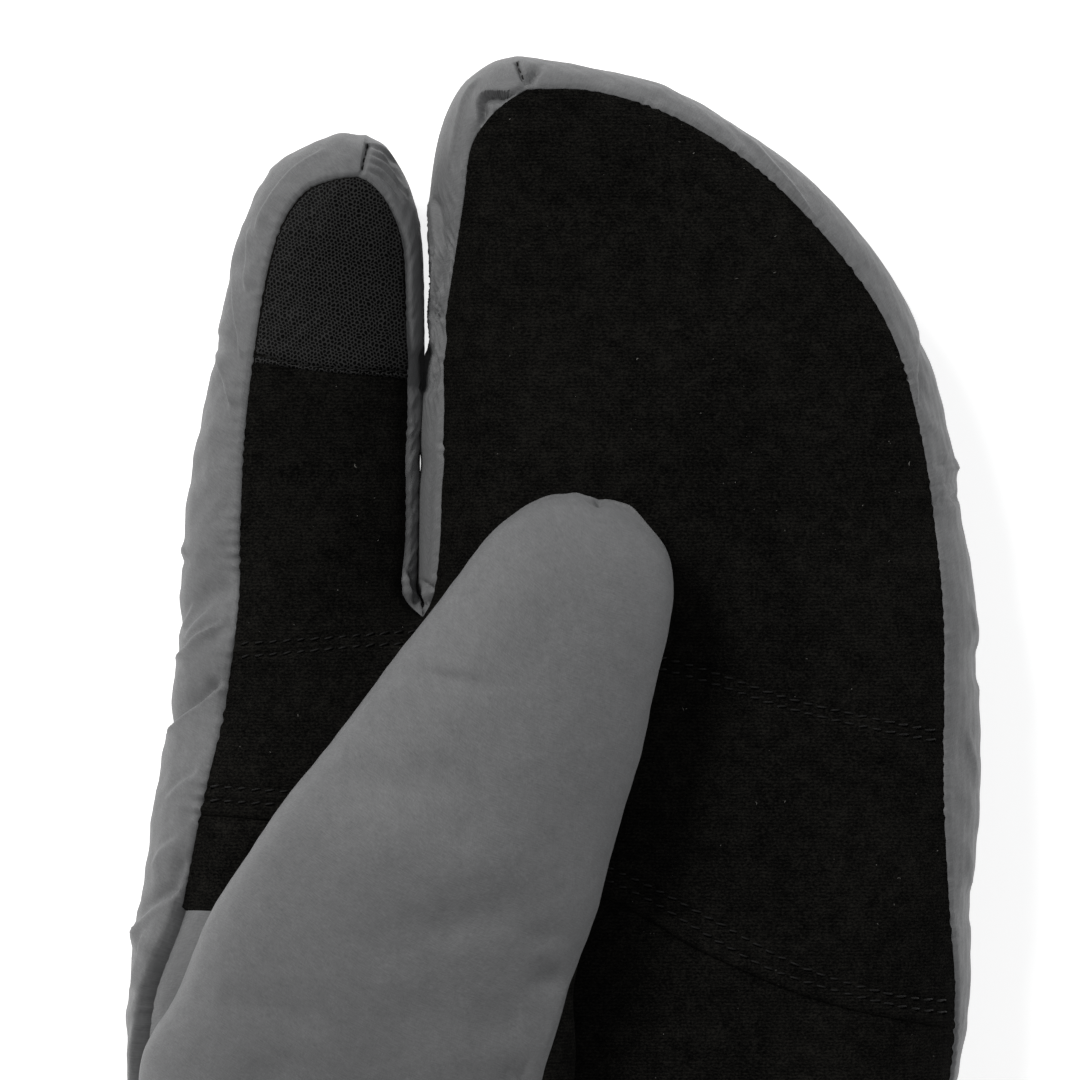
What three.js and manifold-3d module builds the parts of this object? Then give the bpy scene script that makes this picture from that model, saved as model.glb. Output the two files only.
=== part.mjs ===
// A lobster claw mitt for the left hand: a padded winter mitt with a separate index finger,
// one compartment for the other three fingers, and a thumb folded over the palm.
// It lies on its back with the palm up. +X runs to the little finger, +Y to the fingertips
// and +Z out of the palm; the origin is under the middle of the mitt, on the rest plane.
// The mitt is one hollow shell, drawn as a pillow inside a flat outline. The shell is
// parted along its seams into fabric panels, and the thumb is a hollow tube set on it.

import * as THREE from 'three';
import { mergeVertices } from 'three/addons/utils/BufferGeometryUtils.js';
import Module from 'manifold-3d';

const wasm = await Module();
wasm.setup();

// Driving dimensions, in millimetres
const MITT_LENGTH = 290; // cuff mouth to the top of the three-finger compartment
const HAND_WIDTH = 142; // across the palm and the side strips
const HAND_THICKNESS = 36; // back to palm, in the middle of the hand
const SIDE_STRIP = 6; // grey side strip seen beside the palm fabric
const SIDE_WALL = 3.5;
const PALM_WALL = 3;
const BACK_WALL = 4.5;
const THUMB_LENGTH = 150; // tip to the buried end of its base
const THUMB_WIDTH = 60; // across its widest stretch
const THUMB_THICKNESS = 32;
const THUMB_WALL = 3;
const THUMB_ANGLE = 25.5; // degrees from the mitt's length towards the little finger
const THUMB_CLEARANCE = 1.5; // between the palm and the folded thumb
const PATCH_THICKNESS = 1;
const PANEL_GAP = 0.3; // left between neighbouring panels

// How finely the shapes are faceted
const HAND_ROWS = 16;
const FINGER_ROWS = 14;
const HALF_COLUMNS = 12;
const HOLLOW_COLUMNS = 8;
const RING_SIDES = 20;
const TIP_SWING = 4; // points of an edge over which it turns straight down at a fingertip

// How much a cutting shape runs past what it cuts
const OVERRUN = 8;

// The mitt's two long edges, from the mouth to the height of the fork between the fingers.
// along is a share of MITT_LENGTH from the mouth; left and right are shares of HAND_WIDTH
// from the middle; each strip is a share of SIDE_STRIP, and below zero the palm wraps over.
const HAND_EDGES = [
  { along: 0.0, left: -0.387, leftStrip: 0.35, right: 0.387, rightStrip: -0.4 },
  { along: 0.114, left: -0.371, leftStrip: 0.35, right: 0.371, rightStrip: -0.4 },
  { along: 0.229, left: -0.354, leftStrip: 0.35, right: 0.35, rightStrip: -0.4 },
  { along: 0.292, left: -0.406, leftStrip: 0.35, right: 0.373, rightStrip: -0.4 },
  { along: 0.349, left: -0.465, leftStrip: 0.35, right: 0.42, rightStrip: -0.4 },
  { along: 0.401, left: -0.495, leftStrip: 0.4, right: 0.466, rightStrip: -0.2 },
  { along: 0.459, left: -0.5, leftStrip: 0.7, right: 0.486, rightStrip: 0.37 },
  { along: 0.516, left: -0.487, leftStrip: 1.2, right: 0.492, rightStrip: 0.7 },
  { along: 0.574, left: -0.467, leftStrip: 1.33, right: 0.499, rightStrip: 1.03 },
  { along: 0.631, left: -0.448, leftStrip: 1.5, right: 0.5, rightStrip: 1.05 },
  { along: 0.683, left: -0.439, leftStrip: 1.65, right: 0.496, rightStrip: 0.97 },
];

// Where the two compartments part
const FORK = { side: -0.154, along: 0.686, strip: 0.28 };

// Edges above the fork, each ending at the seam on its fingertip
const INDEX_OUTER = [
  { side: -0.433, along: 0.74, strip: 1.6 },
  { side: -0.414, along: 0.792, strip: 1.28 },
  { side: -0.39, along: 0.855, strip: 1.08 },
  { side: -0.365, along: 0.904, strip: 0.97 },
  { side: -0.329, along: 0.9385, strip: 1.03 },
  { side: -0.286, along: 0.952, strip: 1.17 },
  { side: -0.221, along: 0.955, strip: 1.17 },
];
const INDEX_INNER = [
  { side: -0.157, along: 0.723, strip: 0.47 },
  { side: -0.157, along: 0.78, strip: 0.42 },
  { side: -0.154, along: 0.838, strip: 0.42 },
  { side: -0.154, along: 0.89, strip: 0.45 },
  { side: -0.168, along: 0.924, strip: 0.73 },
  { side: -0.195, along: 0.947, strip: 1.05 },
  { side: -0.221, along: 0.955, strip: 1.17 },
];
const FINGERS_INNER = [
  { side: -0.149, along: 0.723, strip: 0.42 },
  { side: -0.149, along: 0.78, strip: 0.48 },
  { side: -0.146, along: 0.838, strip: 0.48 },
  { side: -0.147, along: 0.878, strip: 0.58 },
  { side: -0.146, along: 0.918, strip: 0.88 },
  { side: -0.134, along: 0.956, strip: 0.88 },
  { side: -0.109, along: 0.982, strip: 0.8 },
  { side: -0.075, along: 0.996, strip: 0.95 },
  { side: -0.043, along: 1.0, strip: 0.92 },
];
const FINGERS_OUTER = [
  { side: 0.478, along: 0.74, strip: 0.8 },
  { side: 0.459, along: 0.792, strip: 0.77 },
  { side: 0.427, along: 0.8437, strip: 0.75 },
  { side: 0.378, along: 0.8868, strip: 0.82 },
  { side: 0.298, along: 0.93, strip: 0.77 },
  { side: 0.228, along: 0.9557, strip: 0.65 },
  { side: 0.137, along: 0.9816, strip: 0.7 },
  { side: 0.042, along: 0.994, strip: 0.68 },
  { side: -0.043, along: 1.0, strip: 0.92 },
];

// Heights as shares of HAND_THICKNESS: middle is the outline's height over the rest plane,
// above is the palm's over the outline, and gap is the back's over the rest plane.
// round is how far in from the outline the pillow's rounding reaches.
const HAND_HEIGHTS = [
  { along: 0.0, middle: 0.6, above: 0.6, gap: 0, round: 0.85 },
  { along: 0.229, middle: 0.5, above: 0.52, gap: 0, round: 0.72 },
  { along: 0.4, middle: 0.47, above: 0.53, gap: 0, round: 0.66 },
  { along: 0.6, middle: 0.47, above: 0.53, gap: 0, round: 0.6 },
  { along: 0.72, middle: 0.475, above: 0.48, gap: 0.02, round: 0.55 },
  { along: 0.88, middle: 0.52, above: 0.43, gap: 0.1, round: 0.48 },
  { along: 1.0, middle: 0.58, above: 0.36, gap: 0.23, round: 0.4 },
];
const INDEX_HEIGHTS = [
  { along: 0.0, above: 0.6, gap: 0, round: 0.85 },
  { along: 0.229, above: 0.52, gap: 0, round: 0.72 },
  { along: 0.4, above: 0.53, gap: 0, round: 0.66 },
  { along: 0.6, above: 0.53, gap: 0, round: 0.6 },
  { along: 0.72, above: 0.42, gap: 0.07, round: 0.52 },
  { along: 0.86, above: 0.39, gap: 0.12, round: 0.44 },
  { along: 0.96, above: 0.35, gap: 0.2, round: 0.39 },
];

// The thumb from its tip to its base. along is a share of THUMB_LENGTH, across and half are
// shares of THUMB_WIDTH, thick is half the thickness as a share of THUMB_THICKNESS, sink is
// how far the thumb has sunk into the palm, and seam is how far its little-finger side's
// seam climbs, both as shares of THUMB_THICKNESS.
const THUMB_ROWS = [
  { along: 0.008, across: 0.0, half: 0.1, thick: 0.14, sink: 0, seam: 0 },
  { along: 0.027, across: 0.0, half: 0.187, thick: 0.22, sink: 0, seam: 0 },
  { along: 0.06, across: 0.0, half: 0.238, thick: 0.3, sink: 0, seam: 0 },
  { along: 0.1, across: 0.0, half: 0.277, thick: 0.345, sink: 0, seam: 0 },
  { along: 0.15, across: 0.0, half: 0.307, thick: 0.375, sink: 0, seam: 0 },
  { along: 0.2, across: 0.0, half: 0.33, thick: 0.39, sink: 0, seam: 0 },
  { along: 0.3, across: 0.0, half: 0.378, thick: 0.405, sink: 0, seam: 0 },
  { along: 0.4, across: 0.0, half: 0.422, thick: 0.42, sink: 0.02, seam: 0 },
  { along: 0.5, across: -0.005, half: 0.46, thick: 0.44, sink: 0.12, seam: 0.05 },
  { along: 0.6, across: 0.015, half: 0.512, thick: 0.47, sink: 0.34, seam: 0.18 },
  { along: 0.7, across: 0.03, half: 0.54, thick: 0.5, sink: 0.6, seam: 0.22 },
  { along: 0.787, across: 0.035, half: 0.49, thick: 0.48, sink: 0.8, seam: 0.2 },
  { along: 0.847, across: 0.07, half: 0.42, thick: 0.44, sink: 0.97, seam: 0.12 },
  { along: 0.9, across: 0.1, half: 0.3, thick: 0.35, sink: 1.05, seam: 0.05 },
  { along: 0.935, across: 0.12, half: 0.15, thick: 0.19, sink: 1.0, seam: 0 },
];
const THUMB_TIP = { side: 0.0725, along: 0.746 };

// Seams across the palm, from its index side to its little-finger side
const KNUCKLE_SEAM = [
  { side: -0.54, along: 0.655 },
  { side: -0.386, along: 0.658 },
  { side: -0.263, along: 0.664 },
  { side: -0.146, along: 0.6695 },
  { side: -0.005, along: 0.664 },
  { side: 0.136, along: 0.652 },
  { side: 0.277, along: 0.632 },
  { side: 0.406, along: 0.6155 },
  { side: 0.54, along: 0.602 },
];
const HEEL_SEAM = [
  { side: -0.54, along: 0.568 },
  { side: -0.439, along: 0.567 },
  { side: -0.31, along: 0.562 },
  { side: -0.157, along: 0.546 },
  { side: 0.054, along: 0.52 },
  { side: 0.171, along: 0.489 },
  { side: 0.289, along: 0.464 },
  { side: 0.394, along: 0.4506 },
  { side: 0.54, along: 0.438 },
];
// Where the grey thumb gusset meets the palm, from the index side down to the wrist
const GUSSET_SEAM = [
  { side: -0.54, along: 0.512 },
  { side: -0.339, along: 0.512 },
  { side: -0.239, along: 0.453 },
  { side: -0.146, along: 0.372 },
  { side: -0.089, along: 0.292 },
  { side: -0.087, along: 0.2 },
];
// The straight lower edge of the fingertip patch
const PATCH_EDGE = [
  { side: -0.5, along: 0.826 },
  { side: -0.357, along: 0.8236 },
  { side: -0.263, along: 0.818 },
  { side: -0.1, along: 0.8125 },
];

// The main folds, as valleys pressed into the padding. side and along place the middle,
// length and width are shares of HAND_WIDTH, depth is a share of HAND_THICKNESS, and turn is
// in degrees from the width towards the fingertips.
const FOLDS = [
  { side: -0.415, along: 0.69, turn: 37, length: 0.075, width: 0.03, depth: 0.05 },
  { side: -0.425, along: 0.622, turn: 36, length: 0.09, width: 0.035, depth: 0.09 },
  { side: -0.45, along: 0.513, turn: 45, length: 0.08, width: 0.035, depth: 0.08 },
  { side: -0.375, along: 0.862, turn: 100, length: 0.1, width: 0.022, depth: 0.05 },
  { side: 0.47, along: 0.735, turn: 5, length: 0.05, width: 0.03, depth: 0.06 },
  { side: 0.49, along: 0.6, turn: -30, length: 0.06, width: 0.03, depth: 0.06 },
  { side: 0.08, along: 0.38, turn: 12, length: 0.3, width: 0.06, depth: 0.03 },
  { side: -0.25, along: 0.27, turn: -20, length: 0.2, width: 0.05, depth: 0.05 },
  { side: 0.25, along: 0.27, turn: 15, length: 0.2, width: 0.05, depth: 0.04 },
];

// Shape of the pillow's rounding and of the thumb's section, and shares of the sizes above
const SHAPE = {
  pillowPower: 2.2,
  thumbPower: 2.3,
  wrist: 0.229, // of MITT_LENGTH, where the cuff is sewn on
  forkBlend: 0.09, // of HAND_WIDTH, over which the index side becomes the hand
  palmLedge: 0.12, // of HAND_THICKNESS over the outline, where the palm fabric ends
};

const NO_WALL = { side: 0, palm: 0, back: 0 };
const INNER_WALL = { side: SIDE_WALL, palm: PALM_WALL, back: BACK_WALL };
const grownBy = (amount) => ({ side: -amount, palm: -amount, back: -amount });

const lengthAt = (along) => (along - 0.5) * MITT_LENGTH;
const toPlan = ({ side, along }) => new THREE.Vector2(side * HAND_WIDTH, lengthAt(along));

// A column of a table at a place along it, on a smooth curve through the rows
function readTable(rows, column, along) {
  const last = rows.length - 1;
  let i = 0;
  while (i < last - 1 && along > rows[i + 1].along) i += 1;
  const at = (k) => rows[Math.min(Math.max(k, 0), last)];
  const slope = (k) => {
    const [before, after] = [at(k - 1), at(k + 1)];
    return (after[column] - before[column]) / (after.along - before.along);
  };
  const span = at(i + 1).along - at(i).along;
  const t = THREE.MathUtils.clamp((along - at(i).along) / span, 0, 1);
  const rise = at(i + 1)[column] - at(i)[column];
  const [leave, arrive] = [slope(i) * span - rise, slope(i + 1) * span - rise];
  return at(i)[column] + rise * t + t * (1 - t) * (leave * (1 - t) - arrive * t);
}

// Points down one edge as {x, y, strip}, the share of the curve from t0 to t1 in equal steps
function sampleEdge(rows, t0, t1, steps) {
  const knots = rows.map((row) => {
    const { x, y } = toPlan(row);
    return new THREE.Vector3(x, y, row.strip * SIDE_STRIP);
  });
  const curve = new THREE.CatmullRomCurve3(knots, false, 'catmullrom', 0.5);
  return Array.from({ length: steps + 1 }, (_, i) => {
    const p = curve.getPoint(t0 + ((t1 - t0) * i) / steps);
    return { x: p.x, y: p.y, strip: p.z };
  });
}

// An outer edge: the hand's rows up to the fork's height, then the finger's up to its tip
function outerEdge(handRows, fingerRows) {
  const rows = [...handRows, ...fingerRows];
  const parting = (handRows.length - 1) / (rows.length - 1);
  const hand = sampleEdge(rows, 0, parting, HAND_ROWS);
  return [...hand, ...sampleEdge(rows, parting, 1, FINGER_ROWS).slice(1)];
}

// Adds to each point the unit vector into the mitt, with turn 1 where that lies to the right.
// Towards the fingertip it swings straight down, so that edges drawn in don't cross there.
const DOWN = new THREE.Vector2(0, -1);
function aimInwards(points, turn) {
  const last = points.length - 1;
  return points.map((p, i) => {
    const before = points[Math.max(i - 1, 0)];
    const after = points[Math.min(i + 1, last)];
    const along = new THREE.Vector2(after.x - before.x, after.y - before.y).normalize();
    const swing = Math.max(1 - (last - i) / TIP_SWING, 0);
    const inward = new THREE.Vector2(along.y * turn, -along.x * turn).lerp(DOWN, swing);
    return { ...p, inward: inward.normalize() };
  });
}

const leftRows = HAND_EDGES.map((r) => ({ side: r.left, along: r.along, strip: r.leftStrip }));
const rightRows = HAND_EDGES.map((r) => ({ side: r.right, along: r.along, strip: r.rightStrip }));
const leftEdge = aimInwards(outerEdge(leftRows, INDEX_OUTER), 1);
const rightEdge = aimInwards(outerEdge(rightRows, FINGERS_OUTER), -1);
const indexInner = aimInwards(sampleEdge([FORK, ...INDEX_INNER], 0, 1, FINGER_ROWS), -1);
const fingersInner = aimInwards(sampleEdge([FORK, ...FINGERS_INNER], 0, 1, FINGER_ROWS), 1);
indexInner[0].inward = DOWN;
fingersInner[0].inward = DOWN;

// A point of the outline moved into the mitt
const inset = (p, amount) => ({
  x: p.x + p.inward.x * amount,
  y: p.y + p.inward.y * amount,
});

// The four edges joined up the index side, down to the fork, up again and down the far side
const loopRound = (left, index, fingers, right) => [
  ...left,
  ...index.slice(0, -1).reverse(),
  ...fingers.slice(1),
  ...right.slice(0, -1).reverse(),
];

// The line up the middle of the hand where its index half and its fingers half join
const fork = toPlan(FORK);
const mouthMiddle = toPlan({ side: 0, along: 0 });
function dividingLine(edgeA, edgeB) {
  return Array.from({ length: HAND_ROWS }, (_, i) => {
    const y = (edgeA[i].y + edgeB[i].y) / 2;
    const share = (y - mouthMiddle.y) / (fork.y - mouthMiddle.y);
    return { x: THREE.MathUtils.lerp(mouthMiddle.x, fork.x, share), y };
  });
}

function distanceToOutline(x, y, outline) {
  let nearest = Infinity;
  for (let i = 1; i < outline.length; i += 1) {
    const [a, b] = [outline[i - 1], outline[i]];
    const [dx, dy] = [b.x - a.x, b.y - a.y];
    const t = ((x - a.x) * dx + (y - a.y) * dy) / (dx * dx + dy * dy || 1);
    const s = THREE.MathUtils.clamp(t, 0, 1);
    nearest = Math.min(nearest, Math.hypot(x - a.x - dx * s, y - a.y - dy * s));
  }
  return nearest;
}

// How far the folds press in at a place, each fading from its middle line as a bell curve
function foldDepth(x, y) {
  return FOLDS.reduce((total, fold) => {
    const middle = toPlan(fold);
    const turn = THREE.MathUtils.degToRad(fold.turn);
    const [dx, dy] = [x - middle.x, y - middle.y];
    const lengthwise = (dx * Math.cos(turn) + dy * Math.sin(turn)) / (fold.length * HAND_WIDTH);
    const across = (dy * Math.cos(turn) - dx * Math.sin(turn)) / (fold.width * HAND_WIDTH);
    return total + fold.depth * HAND_THICKNESS * Math.exp(-(lengthwise ** 2) - across ** 2);
  }, 0);
}

// Heights of the palm and the back over the rest plane, at a distance in from the outline
function pillowHeights(x, y, distance, wall) {
  const along = y / MITT_LENGTH + 0.5;
  const upTheFork = (y - mouthMiddle.y) / (fork.y - mouthMiddle.y);
  const divide = THREE.MathUtils.lerp(mouthMiddle.x, fork.x, Math.min(upTheFork, 1));
  const reach = SHAPE.forkBlend * HAND_WIDTH;
  const share = THREE.MathUtils.smoothstep(x, divide - reach, divide + reach);
  const column = (name) =>
    HAND_THICKNESS *
    THREE.MathUtils.lerp(
      readTable(INDEX_HEIGHTS, name, along),
      readTable(HAND_HEIGHTS, name, along),
      share,
    );
  const middle = HAND_THICKNESS * readTable(HAND_HEIGHTS, 'middle', along);
  const above = column('above') - wall.palm;
  const below = middle - Math.max(column('gap'), 0) - wall.back;
  const inwards = Math.min(distance / (column('round') - wall.side), 1);
  const swell = (1 - (1 - inwards) ** SHAPE.pillowPower) ** (1 / SHAPE.pillowPower);
  const fold = foldDepth(x, y) * swell;
  return { top: middle + above * swell - fold, bottom: middle - below * swell + fold * (1 - inwards) };
}

function toManifold(geometry) {
  for (const name of Object.keys(geometry.attributes)) {
    if (name !== 'position') geometry.deleteAttribute(name);
  }
  const merged = mergeVertices(geometry, 1e-4);
  const index = merged.index.array;
  const kept = [];
  for (let i = 0; i < index.length; i += 3) {
    const [a, b, c] = [index[i], index[i + 1], index[i + 2]];
    if (a !== b && b !== c && c !== a) kept.push(a, b, c);
  }
  return new wasm.Manifold(
    new wasm.Mesh({
      numProp: 3,
      vertProperties: new Float32Array(merged.attributes.position.array),
      triVerts: new Uint32Array(kept),
    }),
  );
}

// A closed solid from strips of points: each strip is a grid whose quads face outwards
function solidFromGrids(grids) {
  const positions = [];
  const index = [];
  for (const grid of grids) {
    const columns = grid[0].length;
    const first = positions.length / 3;
    for (const row of grid) for (const p of row) positions.push(p.x, p.y, p.z);
    for (let i = 0; i + 1 < grid.length; i += 1) {
      for (let j = 0; j + 1 < columns; j += 1) {
        const a = first + i * columns + j;
        const [b, c, d] = [a + 1, a + columns + 1, a + columns];
        index.push(a, b, c, a, c, d);
      }
    }
  }
  const geometry = new THREE.BufferGeometry();
  geometry.setAttribute('position', new THREE.Float32BufferAttribute(positions, 3));
  geometry.setIndex(index);
  return toManifold(geometry);
}

// The hand and fingers as one pillow inside the outline, drawn in by a wall on each side.
// Rungs run from one edge of each half to the other, and every point's height follows its
// distance from the outline.
function bodySolid(wall) {
  const columns = wall.side > 0 ? HOLLOW_COLUMNS : HALF_COLUMNS;
  const drawn = (edge) => {
    const points = edge.map((p) => inset(p, wall.side));
    if (wall.side !== 0) points[0].y -= OVERRUN;
    return points;
  };
  const left = drawn(leftEdge);
  const right = drawn(rightEdge);
  const index = indexInner.map((p) => inset(p, wall.side));
  const fingers = fingersInner.map((p) => inset(p, wall.side));
  const outline = loopRound(left, index, fingers, right);
  const divide = dividingLine(left, right);
  const halves = [
    [left, [...divide, ...index]],
    [[...divide, ...fingers], right],
  ];
  const grids = [];
  for (const [from, to] of halves) {
    const rows = from.map((a, i) => {
      const b = to[i];
      return Array.from({ length: columns + 1 }, (_, j) => {
        const w = (1 - Math.cos((Math.PI * j) / columns)) / 2;
        const [x, y] = [a.x + (b.x - a.x) * w, a.y + (b.y - a.y) * w];
        const onEdge = (p) => outline.includes(p);
        const ends = (j === 0 && onEdge(a)) || (j === columns && onEdge(b)) || a === b;
        const distance = ends ? 0 : distanceToOutline(x, y, outline);
        return { x, y, ...pillowHeights(x, y, distance, wall) };
      });
    });
    const top = rows.map((row) => row.map((p) => ({ x: p.x, y: p.y, z: p.top })));
    const bottom = rows.map((row) => row.map((p) => ({ x: p.x, y: p.y, z: p.bottom })).reverse());
    grids.push(top, bottom, [[...bottom[0]].reverse(), top[0]]);
  }
  return solidFromGrids(grids);
}

// A straight-sided solid over a flat loop of points, from one height to another
function prism(points, low, high) {
  const shape = new THREE.Shape(points.map((p) => new THREE.Vector2(p.x, p.y)));
  const geometry = new THREE.ExtrudeGeometry(shape, { depth: high - low, bevelEnabled: false });
  geometry.translate(0, 0, low);
  return toManifold(geometry);
}

const LOW = -OVERRUN;
const HIGH = HAND_THICKNESS * 3;
const seamLine = (rows) => new THREE.SplineCurve(rows.map(toPlan)).getPoints(rows.length * 3);
const shifted = (points, amount) => points.map((p) => ({ x: p.x, y: p.y + amount }));

// Everything beyond a seam line, towards the fingers or towards the wrist
function beyondSeam(rows, shift, towardsFingers) {
  const line = shifted(seamLine(rows), shift);
  const far = lengthAt(towardsFingers ? 1 : 0) + (towardsFingers ? OVERRUN : -OVERRUN);
  const [first, last] = [line[0], line[line.length - 1]];
  return prism([...line, { x: last.x, y: far }, { x: first.x, y: far }], LOW, HIGH);
}

function slabAcross(from, to) {
  const reach = HAND_WIDTH;
  const corners = [
    { x: -reach, y: from },
    { x: reach, y: from },
    { x: reach, y: to },
    { x: -reach, y: to },
  ];
  return prism(corners, LOW, HIGH);
}

// The palm fabric's outline: the mitt's outline drawn in by the side strips
function palmPrism(grow) {
  const line = (edge) => edge.map((p) => inset(p, p.strip - grow));
  const loop = loopRound(line(leftEdge), line(indexInner), line(fingersInner), line(rightEdge));
  const middle = HAND_THICKNESS * readTable(HAND_HEIGHTS, 'middle', 0.5);
  return prism(loop, middle + SHAPE.palmLedge * HAND_THICKNESS - grow, HIGH);
}

// The strip between the two compartments, from one fingertip seam round the fork to the other
function forkPrism(grow) {
  const line = (edge) => edge.map((p) => inset(p, p.strip + grow));
  const raised = (edge, aside) => {
    const tip = edge[edge.length - 1];
    return { x: tip.x + aside, y: tip.y + OVERRUN };
  };
  const index = line(indexInner).reverse();
  const fingers = line(fingersInner);
  index[0].x -= grow;
  fingers[fingers.length - 1].x += grow;
  return prism(
    [...index, ...fingers.slice(1), raised(fingersInner, grow), raised(indexInner, -grow)],
    LOW,
    HIGH,
  );
}

// The thumb's rings, as closed loops of points, seen from the tip towards the base
const thumbAxis = new THREE.Vector2(0, 1).rotateAround(
  new THREE.Vector2(),
  -THREE.MathUtils.degToRad(THUMB_ANGLE),
);
const thumbAcross = new THREE.Vector2(thumbAxis.y, -thumbAxis.x);
const palmTop = pillowHeights(0, 0, HAND_WIDTH, NO_WALL).top;

function thumbStation(row) {
  const centre = toPlan(THUMB_TIP)
    .addScaledVector(thumbAxis, -row.along * THUMB_LENGTH)
    .addScaledVector(thumbAcross, row.across * THUMB_WIDTH);
  const thick = row.thick * THUMB_THICKNESS;
  const height = palmTop + THUMB_CLEARANCE + thick - row.sink * THUMB_THICKNESS;
  return { centre, height, thick, half: row.half * THUMB_WIDTH };
}

const placed = (centre, across, height) => ({
  x: centre.x + thumbAcross.x * across,
  y: centre.y + thumbAcross.y * across,
  z: height,
});

function thumbSolid(wall) {
  const bend = 2 / SHAPE.thumbPower;
  const rounded = (v) => Math.sign(v) * Math.abs(v) ** bend;
  const rows = wall > 0 ? THUMB_ROWS.slice(1) : THUMB_ROWS;
  const rings = rows.map((row) => {
    const { centre, height, thick, half } = thumbStation(row);
    return Array.from({ length: RING_SIDES + 1 }, (_, k) => {
      const a = (2 * Math.PI * (k % RING_SIDES)) / RING_SIDES;
      const across = rounded(Math.cos(a)) * Math.max(half - wall, 1);
      return placed(centre, across, height + rounded(Math.sin(a)) * Math.max(thick - wall, 1));
    });
  });
  const pole = (row, along) => {
    const { centre, height } = thumbStation({ ...row, along });
    return Array.from({ length: RING_SIDES + 1 }, () => placed(centre, 0, height));
  };
  const tip = pole(rows[0], wall > 0 ? rows[0].along - 0.4 * rows[0].along : 0);
  const base = pole(rows[rows.length - 1], rows[rows.length - 1].along);
  return solidFromGrids([[tip, ...rings, base]]);
}

// Everything under the thumb's side seams
function underThumbSeam(grow) {
  const corners = THUMB_ROWS.map((row) => {
    const { centre, height, thick, half } = thumbStation(row);
    const reach = half + OVERRUN;
    const indexSide = height - 0.15 * thick + grow;
    const fingersSide = height - 0.15 * thick + row.seam * THUMB_THICKNESS + grow;
    const floor = height - thick - OVERRUN;
    return [
      placed(centre, reach, fingersSide),
      placed(centre, -reach, indexSide),
      placed(centre, -reach, floor),
      placed(centre, reach, floor),
      placed(centre, reach, fingersSide),
    ];
  });
  const moved = (loop, amount) =>
    loop.map((p) => ({ x: p.x + thumbAxis.x * amount, y: p.y + thumbAxis.y * amount, z: p.z }));
  corners.unshift(moved(corners[0], OVERRUN));
  const ends = [corners[0], corners[corners.length - 1]].map((loop) => loop.map(() => loop[0]));
  return solidFromGrids([[ends[0], ...corners, ends[1]]]);
}

// The whole shell, and the hollow for the hand, fingers and thumb
const body = bodySolid(NO_WALL);
const hollow = bodySolid(INNER_WALL).add(thumbSolid(THUMB_WALL));
const shell = body.subtract(hollow);

const wristLine = lengthAt(SHAPE.wrist);
const handZone = slabAcross(wristLine + PANEL_GAP / 2, lengthAt(1) + OVERRUN);
const cuffZone = slabAcross(lengthAt(0), wristLine - PANEL_GAP / 2);
const hand = shell.intersect(handZone);

const forkGusset = hand.intersect(forkPrism(0));
const withoutFork = hand.subtract(forkPrism(PANEL_GAP));
const palm = withoutFork.intersect(palmPrism(0));
const back = withoutFork.subtract(palmPrism(PANEL_GAP));

const palmFingers = palm.intersect(beyondSeam(KNUCKLE_SEAM, 0, true));
const palmKnuckles = palm
  .intersect(beyondSeam(KNUCKLE_SEAM, -PANEL_GAP, false))
  .intersect(beyondSeam(HEEL_SEAM, 0, true));
const lowerPalm = palm.intersect(beyondSeam(HEEL_SEAM, -PANEL_GAP, false));

function gussetPrism(grow) {
  const line = seamLine(GUSSET_SEAM).map((p) => ({ x: p.x + grow, y: p.y + grow }));
  const first = line[0];
  const last = line[line.length - 1];
  return prism([...line, { x: first.x, y: last.y }], LOW, HIGH);
}
const palmHeel = lowerPalm.subtract(gussetPrism(PANEL_GAP));
const thumbGusset = lowerPalm.intersect(gussetPrism(0));

// The thumb's tube, parted along its side seams and cut off where it meets the palm
const thumb = thumbSolid(0).subtract(hollow).subtract(bodySolid(grownBy(PANEL_GAP)));
const thumbGrip = thumb.intersect(underThumbSeam(0));
const thumbBack = thumb.subtract(underThumbSeam(PANEL_GAP));

// The touch patch lies on the index fingertip, inside the palm fabric's edge
const patchLayer = bodySolid(grownBy(PANEL_GAP + PATCH_THICKNESS)).subtract(
  bodySolid(grownBy(PANEL_GAP)),
);
const indexZone = prism(
  [
    { x: -HAND_WIDTH, y: fork.y },
    { x: fork.x, y: fork.y },
    { x: fork.x, y: lengthAt(1) },
    { x: -HAND_WIDTH, y: lengthAt(1) },
  ],
  LOW,
  HIGH,
);
const indexPatch = patchLayer
  .intersect(palmPrism(-PANEL_GAP))
  .intersect(beyondSeam(PATCH_EDGE, 0, true))
  .subtract(forkPrism(PANEL_GAP))
  .intersect(indexZone);

const greyShell = new THREE.MeshStandardMaterial({ color: 0x767778, roughness: 0.62, metalness: 0 });
const blackPalm = new THREE.MeshStandardMaterial({ color: 0x121211, roughness: 0.9, metalness: 0 });
const blackLeather = new THREE.MeshStandardMaterial({ color: 0x232323, roughness: 0.55, metalness: 0 });

const mitt = new THREE.Group();

// The largest body of a solid, as a named mesh
function addPiece(name, solid, material) {
  const bodies = solid.decompose().sort((a, b) => b.volume() - a.volume());
  const { vertProperties, triVerts } = bodies[0].getMesh();
  const geometry = new THREE.BufferGeometry();
  geometry.setAttribute('position', new THREE.BufferAttribute(vertProperties, 3));
  geometry.setIndex(new THREE.BufferAttribute(triVerts, 1));
  geometry.computeVertexNormals();
  const mesh = new THREE.Mesh(geometry, material);
  mesh.name = name;
  mitt.add(mesh);
}

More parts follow.
